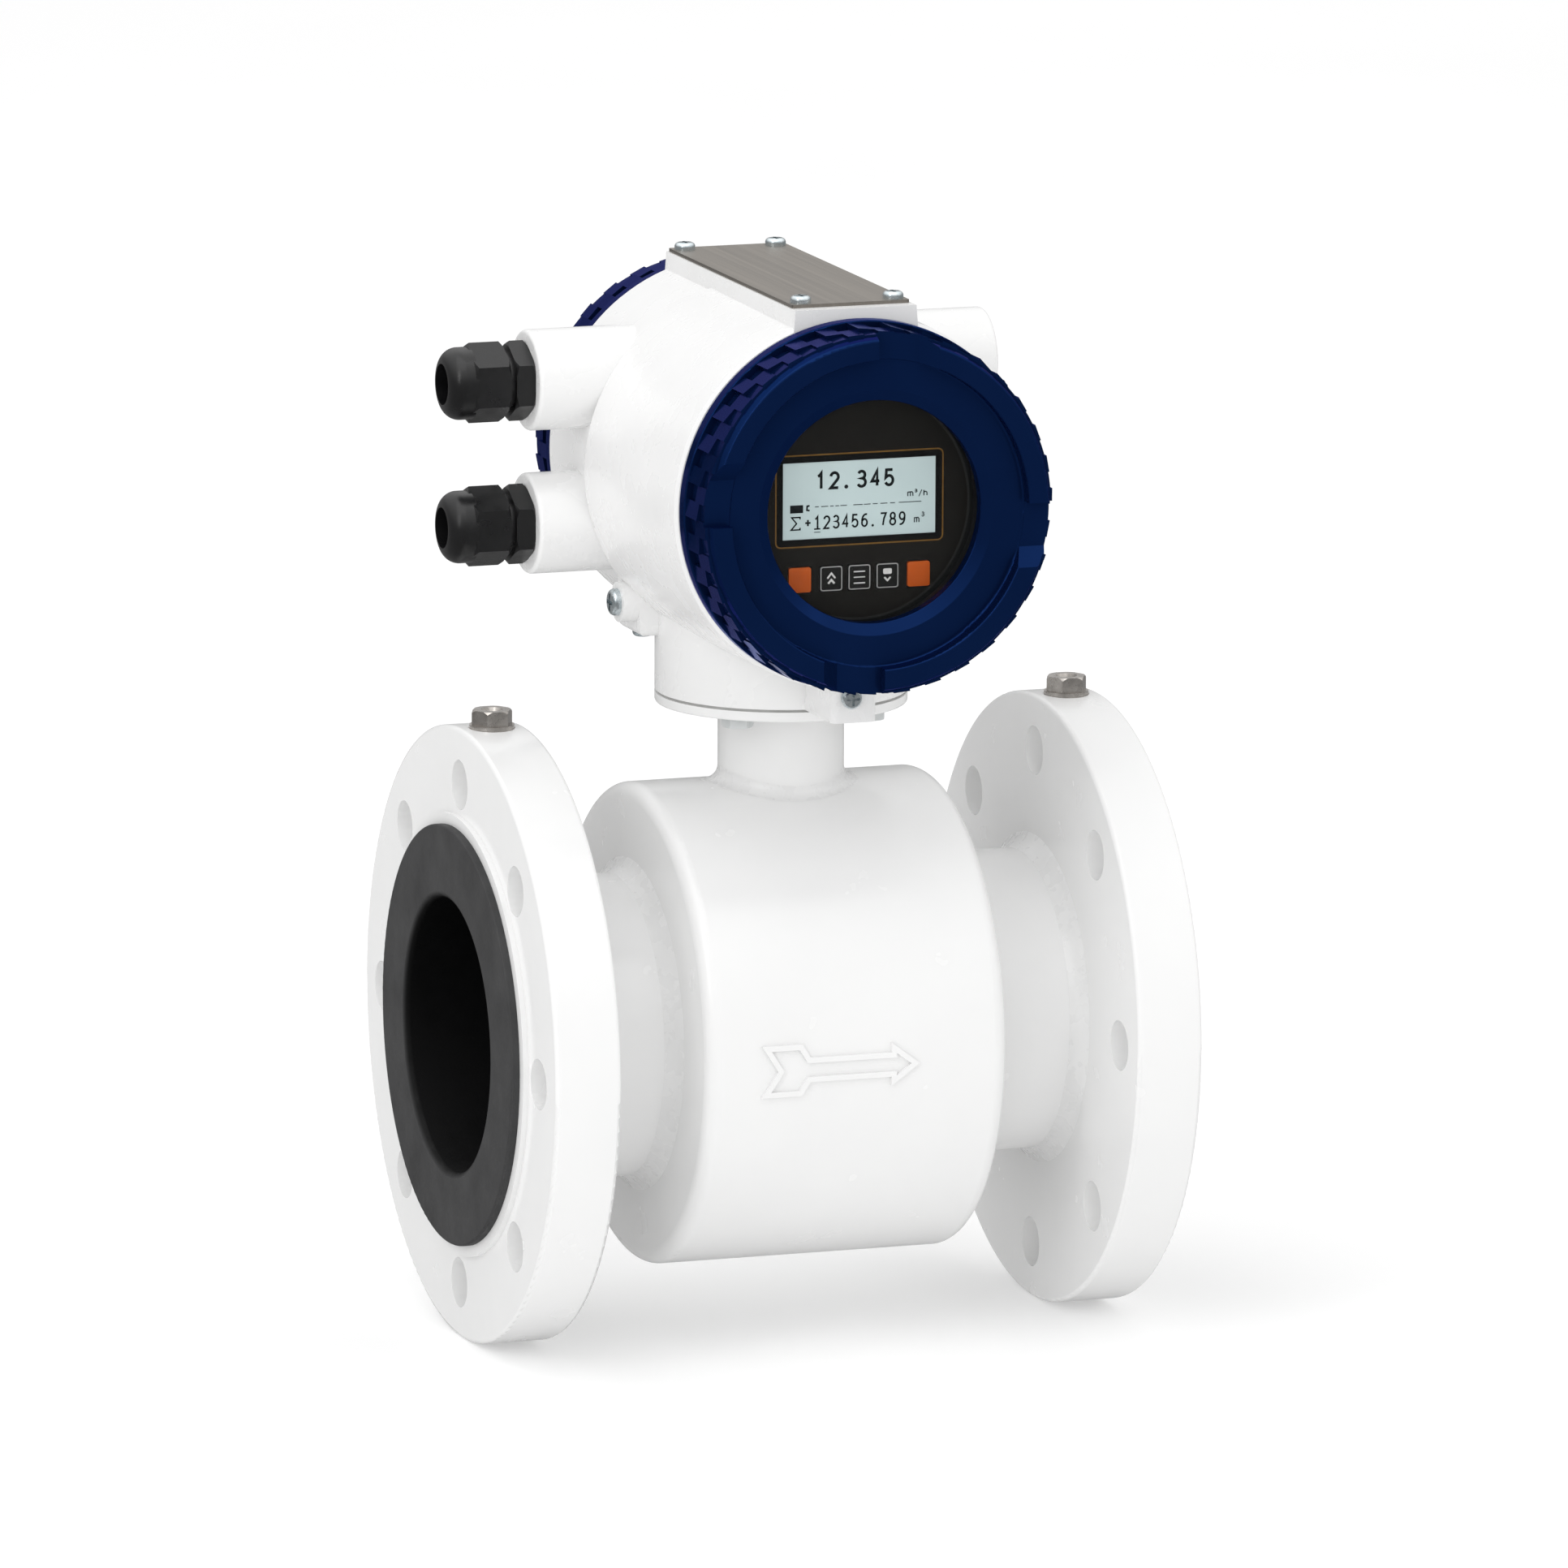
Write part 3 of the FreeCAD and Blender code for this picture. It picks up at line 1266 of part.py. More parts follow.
def gland_seal():
    return turned([
        (CORD_HOLE_R, GLAND_SEAL_START),
        (GLAND_BORE_R - RUNNING_GAP, GLAND_SEAL_START),
        (GLAND_BORE_R - RUNNING_GAP, GLAND_SEAL_TOP),
        (CORD_HOLE_R, GLAND_SEAL_TOP),
    ])


def stopping_plug():
    """Flush screwed plug with a hexagon socket, in the unused entry."""
    plug = rod(ENTRY_R, -GLAND_THREAD, -PLUG_SINK)
    socket = hexagon(PLUG_SOCKET, -PLUG_SINK - PLUG_SOCKET_DEPTH, 0)
    return plug.cut(socket)


PARTS["inlet_flange"] = flange()
PARTS["outlet_flange"] = at_outlet(flange())
PARTS["measuring_tube"] = measuring_tube()
PARTS["liner"] = liner()
PARTS["electrodes"] = electrodes()
PARTS["electrode_bushes"] = electrode_bushes()
PARTS["electrode_nuts"] = electrode_nuts()
PARTS["saddle_coils"] = saddle_coils()
PARTS["pole_cores"] = pole_cores()
PARTS["magnetic_yoke"] = magnetic_yoke()
PARTS["housing_shell"] = housing_shell()
PARTS["housing_ends"] = group([housing_end(), at_outlet(housing_end())])
PARTS["tube_welds"] = tube_welds()
PARTS["neck_tube"] = neck_tube()
PARTS["neck_weld"] = neck_weld()
PARTS["neck_disc"] = neck_disc()
PARTS["base_gasket"] = base_gasket()
PARTS["neck_bolts"] = neck_bolts()
PARTS["signal_cable"] = signal_cable()
PARTS["earth_bolts"] = earth_bolts()
PARTS["earth_washers"] = earth_washers()
PARTS["head_casting"] = head_casting()
PARTS["nameplate"] = nameplate()
PARTS["nameplate_screws"] = nameplate_screws()
PARTS["lug_screws"] = lug_screws()
PARTS["lock_screws"] = lock_screws()
PARTS["front_cover"] = front_cover()
PARTS["front_seal"] = outwards_front(cover_seal())
PARTS["rear_cover"] = rear_cover()
PARTS["rear_seal"] = outwards_rear(cover_seal())
PARTS["window_glass"] = window_glass()
PARTS["glass_gasket"] = glass_gasket()
PARTS["glass_retainer"] = glass_retainer()
PARTS["fascia"] = outwards_front(fascia())
PARTS["lcd_panel"] = outwards_front(lcd_panel())
PARTS["display_holder"] = outwards_front(display_holder())
PARTS["display_board"] = display_board()
PARTS["key_switches"] = outwards_front(key_switches())
PARTS["display_screws"] = display_screws()
PARTS["display_standoffs"] = display_standoffs()
PARTS["main_board"] = main_board()
PARTS["board_components"] = board_components()
PARTS["terminal_strip"] = terminal_strip()
PARTS["terminal_screws"] = terminal_screws()
PARTS["gland_bodies"] = group([at_entry(gland_body(), z) for z in (UPPER_BOSS_Z, LOWER_BOSS_Z)])
PARTS["upper_gland_nut"] = at_entry(gland_nut(), UPPER_BOSS_Z)
PARTS["lower_gland_nut"] = at_entry(gland_nut(), LOWER_BOSS_Z)
PARTS["upper_gland_seal"] = at_entry(gland_seal(), UPPER_BOSS_Z)
PARTS["lower_gland_seal"] = at_entry(gland_seal(), LOWER_BOSS_Z)
PARTS["stopping_plug"] = at_entry(stopping_plug(), UPPER_BOSS_Z, 1)
for key_name, key_x in zip(KEY_NAMES, KEY_PITCHES):
    PARTS[key_name] = outwards_front(key_cap(key_x))

os.makedirs("parts", exist_ok=True)
for name, shape in PARTS.items():
    shape.exportStep("parts/" + name + ".step")
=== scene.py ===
import json
import math

import bmesh
import bpy
from mathutils import Matrix, Vector

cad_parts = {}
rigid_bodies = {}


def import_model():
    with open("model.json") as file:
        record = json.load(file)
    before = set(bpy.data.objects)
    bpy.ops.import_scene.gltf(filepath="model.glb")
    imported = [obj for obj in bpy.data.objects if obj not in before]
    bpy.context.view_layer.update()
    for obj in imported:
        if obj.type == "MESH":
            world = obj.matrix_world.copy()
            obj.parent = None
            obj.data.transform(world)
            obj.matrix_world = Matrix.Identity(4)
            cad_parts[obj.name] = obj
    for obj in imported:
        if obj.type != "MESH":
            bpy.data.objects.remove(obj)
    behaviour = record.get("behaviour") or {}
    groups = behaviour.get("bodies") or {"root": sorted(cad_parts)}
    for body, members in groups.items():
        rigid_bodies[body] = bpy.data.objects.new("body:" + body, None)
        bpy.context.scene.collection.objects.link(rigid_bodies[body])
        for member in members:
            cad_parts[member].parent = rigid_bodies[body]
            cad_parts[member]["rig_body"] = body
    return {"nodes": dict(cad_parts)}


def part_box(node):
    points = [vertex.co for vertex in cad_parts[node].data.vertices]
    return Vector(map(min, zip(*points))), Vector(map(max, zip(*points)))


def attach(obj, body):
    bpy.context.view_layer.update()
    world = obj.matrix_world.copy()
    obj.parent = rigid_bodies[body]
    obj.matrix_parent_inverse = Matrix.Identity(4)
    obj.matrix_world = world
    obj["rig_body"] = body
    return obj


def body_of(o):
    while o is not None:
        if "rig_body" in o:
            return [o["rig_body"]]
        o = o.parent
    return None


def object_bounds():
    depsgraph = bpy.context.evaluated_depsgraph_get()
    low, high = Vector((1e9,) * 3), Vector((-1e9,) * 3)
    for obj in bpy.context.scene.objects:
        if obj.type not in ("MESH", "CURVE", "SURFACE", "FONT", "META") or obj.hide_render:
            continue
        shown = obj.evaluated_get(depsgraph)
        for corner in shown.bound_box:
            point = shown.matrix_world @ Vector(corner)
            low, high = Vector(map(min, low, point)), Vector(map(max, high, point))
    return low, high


# Looks of the flow meter: enamels, rubber, plated steel, display print, floor, light and camera.
# Everything is in metres, in the part's own frame: the display faces -Y, the pipe runs along X.

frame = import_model()
cad_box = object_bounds()
nodes = frame["nodes"]
MM = 0.001

# Noise mostly lies between these two; a drift runs its full course between them.
NOISE_LOW = 0.3
NOISE_HIGH = 0.7
# Roughness drifts on a grain this much finer than the colour's.
ROUGHNESS_GRAIN = 2.3
# Radii between which the painted shade down the bore gives way to the liner's grey face.
BORE_PAINTED_SHADE = (0.0494, 0.0512)
# Radii between which the fascia's film gives way to a thin grey ring, a painted edge highlight.
FASCIA_RIM_HIGHLIGHT = (0.0399, 0.0402)
# How fast brushed or wound lines change along their own length.
ALONG_STRANDS = 6.0
# Glow of the liquid crystal, partly painted light that keeps it bright in its shaded recess.
CRYSTAL_PAINTED_GLOW = 0.40
GLASS_ALPHA = 0.07
FLOOR_GLOW = 0.23


# ---------------------------------------------------------------- materials

def node_tree(name):
    """A new material, with its tree, its shader and the object's own coordinates."""
    made = bpy.data.materials.new(name)
    made.use_nodes = True
    tree = made.node_tree
    shader = tree.nodes["Principled BSDF"]
    place = tree.nodes.new("ShaderNodeTexCoord").outputs["Object"]
    return made, tree, shader, place


def linked(tree, kind, inputs, **settings):
    """A node with its settings and inputs; an input is a value or another node's output."""
    node = tree.nodes.new(kind)
    for key, value in settings.items():
        setattr(node, key, value)
    for key, value in inputs.items():
        if isinstance(value, bpy.types.NodeSocket):
            tree.links.new(value, node.inputs[key])
        else:
            node.inputs[key].default_value = value
    return node


def noise(tree, place, scale, detail=3.0, rough=0.55):
    inputs = {"Vector": place, "Scale": scale, "Detail": detail, "Roughness": rough}
    return linked(tree, "ShaderNodeTexNoise", inputs).outputs["Fac"]


def spread(tree, factor, low, high, start=NOISE_LOW, end=NOISE_HIGH):
    """A factor that runs from start to end, mapped to run from low to high."""
    inputs = {"Value": factor, "From Min": start, "From Max": end, "To Min": low, "To Max": high}
    return linked(tree, "ShaderNodeMapRange", inputs).outputs["Result"]


def blended(tree, factor, first, second):
    """The first colour where factor is 0, the second where it is 1."""
    node = tree.nodes.new("ShaderNodeMix")
    node.data_type = "RGBA"
    tree.links.new(factor, node.inputs["Factor"])
    for key, value in (("A", first), ("B", second)):
        if isinstance(value, bpy.types.NodeSocket):
            tree.links.new(value, node.inputs[key])
        else:
            node.inputs[key].default_value = (*value, 1.0)
    return node.outputs["Result"]


def scaled_by(tree, place, factors):
    inputs = {0: place, 1: factors}
    return linked(tree, "ShaderNodeVectorMath", inputs, operation="MULTIPLY").outputs["Vector"]


def bumped(tree, shader, height, strength, distance):
    """Tilts the shader's normal as if height stood up from the surface."""
    inputs = {"Height": height, "Strength": strength, "Distance": distance}
    made = linked(tree, "ShaderNodeBump", inputs)
    tree.links.new(made.outputs["Normal"], shader.inputs["Normal"])


def radius_from(tree, place, axis, centre):
    """Distance of a point from a line along X or Y through centre."""
    moved = linked(tree, "ShaderNodeVectorMath", {0: place, 1: centre}, operation="SUBTRACT")
    kept = (0.0, 1.0, 1.0) if axis == "X" else (1.0, 0.0, 1.0)
    flat = scaled_by(tree, moved.outputs["Vector"], kept)
    far = linked(tree, "ShaderNodeVectorMath", {0: flat}, operation="LENGTH")
    return far.outputs["Value"]


def surface(name, dark, light, rough, grain, metallic=0.0, specular=0.5, tint=None, bump=None,
            seed=(0, 0, 0)):
    """Plain procedural finish: colour drifts from dark to light and roughness between its two ends.

    bump is a fine noise's scale, strength and distance; seed shifts every noise.
    """
    made, tree, shader, place = node_tree(name)
    moved = linked(tree, "ShaderNodeVectorMath", {0: place, 1: seed}, operation="ADD").outputs["Vector"]
    drift = noise(tree, moved, grain)
    tree.links.new(blended(tree, spread(tree, drift, 0.0, 1.0), dark, light), shader.inputs["Base Color"])
    gloss = noise(tree, moved, grain * ROUGHNESS_GRAIN)
    tree.links.new(spread(tree, gloss, *rough), shader.inputs["Roughness"])
    shader.inputs["Metallic"].default_value = metallic
    shader.inputs["Specular IOR Level"].default_value = specular
    if tint:
        shader.inputs["Specular Tint"].default_value = (*tint, 1.0)
    if bump:
        scale, strength, distance = bump
        bumped(tree, shader, noise(tree, moved, scale, 2.0), strength, distance)
    return made


def rubber_lining_painted_bore_shade():
    """Dark grey moulded rubber on the sealing faces, with painted shade that makes it much darker down
    the bore.
    """
    made, tree, shader, place = node_tree("rubber_lining_painted_bore_shade")
    far = radius_from(tree, place, "X", (0.0, 0.0, 0.0))
    beyond_painted_bore_shade = spread(tree, far, 0.0, 1.0, *BORE_PAINTED_SHADE)
    drift = spread(tree, noise(tree, place, 45.0), 0.0, 1.0)
    face = blended(tree, drift, (0.042, 0.042, 0.043), (0.060, 0.060, 0.061))
    # The near-black down the bore is painted shade, blending out to the grey rubber of the face.
    tree.links.new(blended(tree, beyond_painted_bore_shade, (0.0028, 0.0028, 0.003), face), shader.inputs["Base Color"])
    tree.links.new(spread(tree, noise(tree, place, 160.0), 0.55, 0.72), shader.inputs["Roughness"])
    shader.inputs["Specular IOR Level"].default_value = 0.18
    bumped(tree, shader, noise(tree, place, 900.0, 2.0), 0.12, 0.0004)
    return made


def display_print_painted_rim():
    """Brown-black printed film, with a thin grey ring painted round its edge as an edge highlight."""
    made, tree, shader, place = node_tree("display_print_painted_rim")
    low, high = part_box("fascia")
    centre = (low + high) / 2
    far = radius_from(tree, place, "Y", tuple(centre))
    painted_rim_highlight = spread(tree, far, 0.0, 1.0, *FASCIA_RIM_HIGHLIGHT)
    drift = spread(tree, noise(tree, place, 35.0), 0.0, 1.0)
    film = blended(tree, drift, (0.0085, 0.0066, 0.0050), (0.0125, 0.0100, 0.0078))
    # The thin grey ring at the film's edge is a painted highlight.
    tree.links.new(blended(tree, painted_rim_highlight, film, (0.030, 0.030, 0.029)), shader.inputs["Base Color"])
    tree.links.new(spread(tree, noise(tree, place, 300.0), 0.42, 0.55), shader.inputs["Roughness"])
    shader.inputs["Specular IOR Level"].default_value = 0.1
    bumped(tree, shader, noise(tree, place, 1800.0, 2.0), 0.05, 0.0002)
    return made


def crystal_face_painted_glow():
    """Pale blue-grey liquid crystal, a little uneven; its back-lit glow is partly painted light that
    keeps it bright in its shaded recess.
    """
    made, tree, shader, place = node_tree("crystal_face_painted_glow")
    drift = spread(tree, noise(tree, place, 28.0, 2.0), 0.0, 1.0)
    colour = blended(tree, drift, (0.43, 0.53, 0.535), (0.50, 0.60, 0.60))
    tree.links.new(colour, shader.inputs["Base Color"])
    # The glow is partly painted light, holding the crystal bright inside its shaded recess.
    tree.links.new(colour, shader.inputs["Emission Color"])
    shader.inputs["Emission Strength"].default_value = CRYSTAL_PAINTED_GLOW
    tree.links.new(spread(tree, noise(tree, place, 400.0), 0.3, 0.4), shader.inputs["Roughness"])
    shader.inputs["Specular IOR Level"].default_value = 0.2
    return made


def clear_window():
    """Clear toughened glass with a trace of tint."""
    made, tree, shader, place = node_tree("clear_window")
    drift = spread(tree, noise(tree, place, 12.0, 1.0), 0.0, 1.0)
    tint = blended(tree, drift, (0.03, 0.035, 0.035), (0.05, 0.055, 0.055))
    tree.links.new(tint, shader.inputs["Base Color"])
    shader.inputs["Alpha"].default_value = GLASS_ALPHA
    shader.inputs["Roughness"].default_value = 0.03
    return made


def weld_enamel():
    """White enamel over a hand-laid bead, a little rippled and lumpy."""
    made, tree, shader, place = node_tree("weld_enamel")
    drift = spread(tree, noise(tree, place, 60.0), 0.0, 1.0)
    paint = blended(tree, drift, (0.79, 0.79, 0.787), (0.82, 0.82, 0.817))
    tree.links.new(paint, shader.inputs["Base Color"])
    tree.links.new(spread(tree, noise(tree, place, 150.0), 0.22, 0.34), shader.inputs["Roughness"])
    ripple = noise(tree, place, 260.0, 2.0)
    lumps = noise(tree, place, 90.0, 1.0)
    height = linked(tree, "ShaderNodeMath", {0: ripple, 1: lumps}, operation="ADD").outputs["Value"]
    bumped(tree, shader, height, 0.1, 0.0008)
    return made


def stranded(name, dark, light, metallic, rough, pitch):
    """Fine parallel lines, such as brushing or wound wire, one after the other along the object's X."""
    made, tree, shader, place = node_tree(name)
    lines = noise(tree, scaled_by(tree, place, (1.0 / pitch, ALONG_STRANDS, ALONG_STRANDS)), 1.0, 2.0)
    tree.links.new(blended(tree, spread(tree, lines, 0.0, 1.0), dark, light), shader.inputs["Base Color"])
    tree.links.new(spread(tree, lines, *rough), shader.inputs["Roughness"])
    shader.inputs["Metallic"].default_value = metallic
    bumped(tree, shader, lines, 0.06, 0.0001)
    return made


def glowing_floor():
    """Back-lit white acrylic: part of its brightness is its own, so shadows on it stay pale."""
    made, tree, shader, place = node_tree("floor_acrylic")
    drift = spread(tree, noise(tree, place, 2.0), 0.0, 1.0)
    acrylic = blended(tree, drift, (0.80, 0.80, 0.80), (0.82, 0.82, 0.82))
    tree.links.new(acrylic, shader.inputs["Base Color"])
    shader.inputs["Roughness"].default_value = 0.65
    shader.inputs["Specular IOR Level"].default_value = 0.1
    shader.inputs["Emission Color"].default_value = (1.0, 1.0, 1.0, 1.0)
    shader.inputs["Emission Strength"].default_value = FLOOR_GLOW
    return made


white = surface("white_enamel", (0.84, 0.84, 0.837), (0.86, 0.86, 0.857), rough=(0.2, 0.28), grain=22.0,
                bump=(30.0, 0.006, 0.0005))
cast_white = surface("cast_white_enamel", (0.84, 0.84, 0.837), (0.86, 0.86, 0.857), rough=(0.22, 0.32),
                     grain=30.0, bump=(30.0, 0.008, 0.0006), seed=(3, 1, 2))
pale_gasket = surface("pale_gasket", (0.36, 0.36, 0.35), (0.44, 0.44, 0.43), rough=(0.5, 0.6),
                      grain=120.0, specular=0.3, bump=(500.0, 0.05, 0.0002))
painted_steel = surface("painted_steel", (0.56, 0.58, 0.58), (0.64, 0.66, 0.66), rough=(0.28, 0.38),
                        grain=160.0, bump=(600.0, 0.05, 0.0002))
navy = surface("navy_enamel", (0.0040, 0.0150, 0.066), (0.0048, 0.0172, 0.074), rough=(0.14, 0.2),
               grain=26.0, metallic=0.6, specular=0.04, tint=(0.02, 0.12, 0.75),
               bump=(40.0, 0.01, 0.0003))
rubber = rubber_lining_painted_bore_shade()
seal_rubber = surface("seal_rubber", (0.02, 0.02, 0.02), (0.035, 0.035, 0.035), rough=(0.55, 0.7),
                      grain=80.0, specular=0.2, bump=(900.0, 0.1, 0.0003))
nylon = surface("black_nylon", (0.0045, 0.0045, 0.005), (0.0075, 0.0075, 0.008), rough=(0.26, 0.36),
                grain=90.0, specular=0.4, bump=(1200.0, 0.06, 0.0002))
zinc = surface("zinc_plate", (0.50, 0.57, 0.60), (0.70, 0.75, 0.77), rough=(0.2, 0.34), grain=400.0,
               metallic=1.0, bump=(1500.0, 0.06, 0.0001))
stainless = surface("stainless", (0.40, 0.375, 0.35), (0.56, 0.53, 0.50), rough=(0.24, 0.38), grain=300.0,
                    metallic=1.0, bump=(1400.0, 0.08, 0.0001), seed=(1, 5, 2))
bronze_plate = stranded("name_plate_sheet", (0.255, 0.233, 0.208), (0.285, 0.262, 0.235), metallic=1.0,
                        rough=(0.38, 0.5), pitch=0.0011)
plastic = surface("dark_moulding", (0.006, 0.006, 0.006), (0.01, 0.01, 0.0105), rough=(0.45, 0.6),
                  grain=70.0, specular=0.2, bump=(1400.0, 0.08, 0.0002))
fascia_film = display_print_painted_rim()
crystal = crystal_face_painted_glow()
glass = clear_window()
orange = surface("orange_cap", (0.66, 0.110, 0.008), (0.76, 0.135, 0.011), rough=(0.42, 0.55),
                 grain=120.0, specular=0.2, bump=(1600.0, 0.06, 0.0001))
dark_cap = surface("dark_cap", (0.0075, 0.0068, 0.006), (0.010, 0.009, 0.008), rough=(0.42, 0.55),
                   grain=120.0, specular=0.25, bump=(1600.0, 0.06, 0.0001))
board = surface("circuit_board", (0.008, 0.07, 0.025), (0.012, 0.10, 0.038), rough=(0.3, 0.45),
                grain=260.0, bump=(700.0, 0.15, 0.0002))
strip = surface("terminal_moulding", (0.02, 0.16, 0.06), (0.03, 0.2, 0.08), rough=(0.35, 0.5), grain=90.0,
                bump=(900.0, 0.08, 0.0002))
winding = stranded("wound_wire", (0.28, 0.09, 0.03), (0.46, 0.18, 0.07), metallic=0.8, rough=(0.25, 0.4),
                   pitch=0.0006)
core = surface("magnet_steel", (0.10, 0.10, 0.105), (0.16, 0.16, 0.165), rough=(0.4, 0.6), grain=150.0,
               metallic=0.9, bump=(700.0, 0.1, 0.0002))
bush = surface("bush_plastic", (0.68, 0.66, 0.6), (0.76, 0.74, 0.68), rough=(0.4, 0.5), grain=90.0,
               bump=(900.0, 0.05, 0.0002))
weld = weld_enamel()
ink = surface("display_ink", (0.006, 0.009, 0.010), (0.010, 0.014, 0.016), rough=(0.5, 0.6), grain=500.0,
              specular=0.1)
faint_ink = surface("faint_display_ink", (0.04, 0.055, 0.06), (0.07, 0.09, 0.095), rough=(0.5, 0.6),
                    grain=900.0, specular=0.1)
gold = surface("gold_line", (0.19, 0.090, 0.010), (0.25, 0.125, 0.018), rough=(0.4, 0.5), grain=300.0,
               specular=0.2)
black_print = surface("black_print", (0.0016, 0.0014, 0.0014), (0.0030, 0.0026, 0.0024), rough=(0.5, 0.6),
                      grain=300.0, specular=0.1)
pale_print = surface("pale_print", (0.78, 0.78, 0.76), (0.88, 0.88, 0.86), rough=(0.5, 0.6), grain=700.0,
                     specular=0.2)
grey_print = surface("grey_print", (0.40, 0.40, 0.39), (0.50, 0.50, 0.49), rough=(0.5, 0.6), grain=700.0,
                     specular=0.2)

FINISHES = {
    "inlet_flange": white, "outlet_flange": white, "measuring_tube": white, "housing_shell": white,
    "housing_ends": white, "neck_tube": white, "neck_disc": white, "tube_welds": weld, "neck_weld": weld,
    "head_casting": cast_white, "liner": rubber, "base_gasket": pale_gasket, "front_seal": seal_rubber,
    "rear_seal": seal_rubber, "glass_gasket": seal_rubber, "upper_gland_seal": seal_rubber,
    "lower_gland_seal": seal_rubber, "front_cover": navy, "rear_cover": navy, "earth_bolts": stainless,
    "earth_washers": stainless, "neck_bolts": painted_steel, "nameplate_screws": zinc, "lug_screws": zinc,
    "lock_screws": zinc, "display_screws": zinc, "display_standoffs": zinc, "terminal_screws": zinc,
    "electrode_nuts": zinc, "electrodes": stainless, "stopping_plug": zinc, "nameplate": bronze_plate,
    "gland_bodies": nylon, "upper_gland_nut": nylon, "lower_gland_nut": nylon, "window_glass": glass,
    "fascia": fascia_film, "display_holder": plastic, "glass_retainer": plastic, "key_switches": plastic,
    "signal_cable": plastic, "board_components": plastic, "lcd_panel": crystal, "left_orange_key": orange,
    "right_orange_key": orange, "double_up_key": dark_cap, "menu_key": dark_cap, "down_key": dark_cap,
    "display_board": board, "main_board": board, "terminal_strip": strip, "saddle_coils": winding,
    "pole_cores": core, "magnetic_yoke": core, "electrode_bushes": bush,
}
for name, finish in FINISHES.items():
    slots = nodes[name].data.materials
    if len(slots) == 0:
        slots.append(finish)
    for index in range(len(slots)):
        slots[index] = finish


# ---------------------------------------------------------------- printed marks

# The sharpest corner that a ribbon's mitre follows in full, as the cosine of half its turn.
SHARPEST_MITRE = 0.35
# Degrees between the points of a bowed stroke.
BOW_STEP = 15
# Radius of the decimal point, in strokes.
POINT_RADIUS = 0.7
# Thickness of each printed layer.
CRYSTAL_INK = 0.00006
BORDER_INK = 0.00003
GOLD_INK = 0.00005
KEY_INK = 0.00004


def flat_strips(builder, points, width, closed=False):
    """Adds a flat ribbon of one width along a line of points in the XY plane, with mitred corners."""
    count = len(points)
    sides = []
    for index in range(count):
        here = Vector(points[index])
        before = Vector(points[index - 1]) if closed or index > 0 else None
        after = Vector(points[(index + 1) % count]) if closed or index < count - 1 else None
        into = (here - before).normalized() if before is not None else (after - here).normalized()
        out = (after - here).normalized() if after is not None else into
        along = (into + out).normalized()
        across = Vector((-along.y, along.x))
        reach = width / 2 / max(SHARPEST_MITRE, along.dot(into))
        sides.append((here + across * reach, here - across * reach))
    made = [[builder.verts.new((p.x, p.y, 0.0)) for p in pair] for pair in sides]
    last = count if closed else count - 1
    for index in range(last):
        a, b = made[index], made[(index + 1) % count]
        builder.faces.new((a[1], b[1], b[0], a[0]))


def filled(builder, points):
    """Adds a flat patch with the given outline."""
    builder.faces.new([builder.verts.new((x, y, 0.0)) for x, y in points])


def rounded_corners(width, height, radius, steps=6):
    """Outline of a rounded rectangle about the origin."""
    points = []
    for corner, (sx, sy) in enumerate(((1, 1), (-1, 1), (-1, -1), (1, -1))):
        for step in range(steps + 1):
            angle = math.radians(90 * corner + 90 * step / steps)
            x = sx * (width / 2 - radius) + radius * math.cos(angle)
            y = sy * (height / 2 - radius) + radius * math.sin(angle)
            points.append((x, y))
    return points


def bow(centre, radii, start, end):
    """Points along part of an ellipse, from one angle to another, in degrees from the right."""
    steps = max(3, round(abs(end - start) / BOW_STEP))
    angles = [math.radians(start + (end - start) * step / steps) for step in range(steps + 1)]
    return [(centre[0] + radii[0] * math.cos(a), centre[1] + radii[1] * math.sin(a)) for a in angles]


# Each figure is one or more strokes in a cell of width 1 and height 1.
FIGURES = {
    "1": [[(0.12, 0.80), (0.34, 0.86), (0.55, 1.0), (0.55, 0.0)]],
    "2": [bow((0.5, 0.72), (0.5, 0.28), 170, -35) + [(0.0, 0.0), (1.0, 0.0)]],
    "3": [
        bow((0.46, 0.76), (0.44, 0.24), 155, -70) + [(0.32, 0.53)]
        + bow((0.46, 0.27), (0.52, 0.27), 70, -155),
    ],
    "4": [[(0.70, 0.0), (0.70, 1.0), (0.0, 0.30), (1.0, 0.30)]],
    "5": [[(0.93, 1.0), (0.12, 1.0), (0.04, 0.50)] + bow((0.47, 0.31), (0.51, 0.31), 118, -155)],
    "6": [bow((0.5, 0.30), (0.48, 0.30), 150, 510), bow((0.78, 0.40), (0.76, 0.60), 75, 178)],
    "7": [[(0.0, 1.0), (1.0, 1.0), (0.62, 0.56), (0.42, 0.0)]],
    "8": [bow((0.5, 0.75), (0.42, 0.25), 90, 450), bow((0.5, 0.26), (0.5, 0.26), 90, 450)],
    "9": [bow((0.5, 0.70), (0.48, 0.30), -30, 330), bow((0.22, 0.60), (0.76, 0.60), -105, -2)],
    "+": [[(0.0, 0.52), (1.0, 0.52)], [(0.5, 0.26), (0.5, 0.78)]],
    "/": [[(0.1, -0.1), (0.9, 1.1)]],
    "m": [
        [(0.0, 0.0), (0.0, 1.0)], [(0.5, 0.0), (0.5, 1.0)],
        [(0.0, 0.9), (0.8, 0.95), (1.0, 0.7), (1.0, 0.0)],
    ],
    "h": [[(0.05, 0.0), (0.05, 1.3)], bow((0.5, 0.55), (0.45, 0.40), 180, 0) + [(0.95, 0.0)]],
}


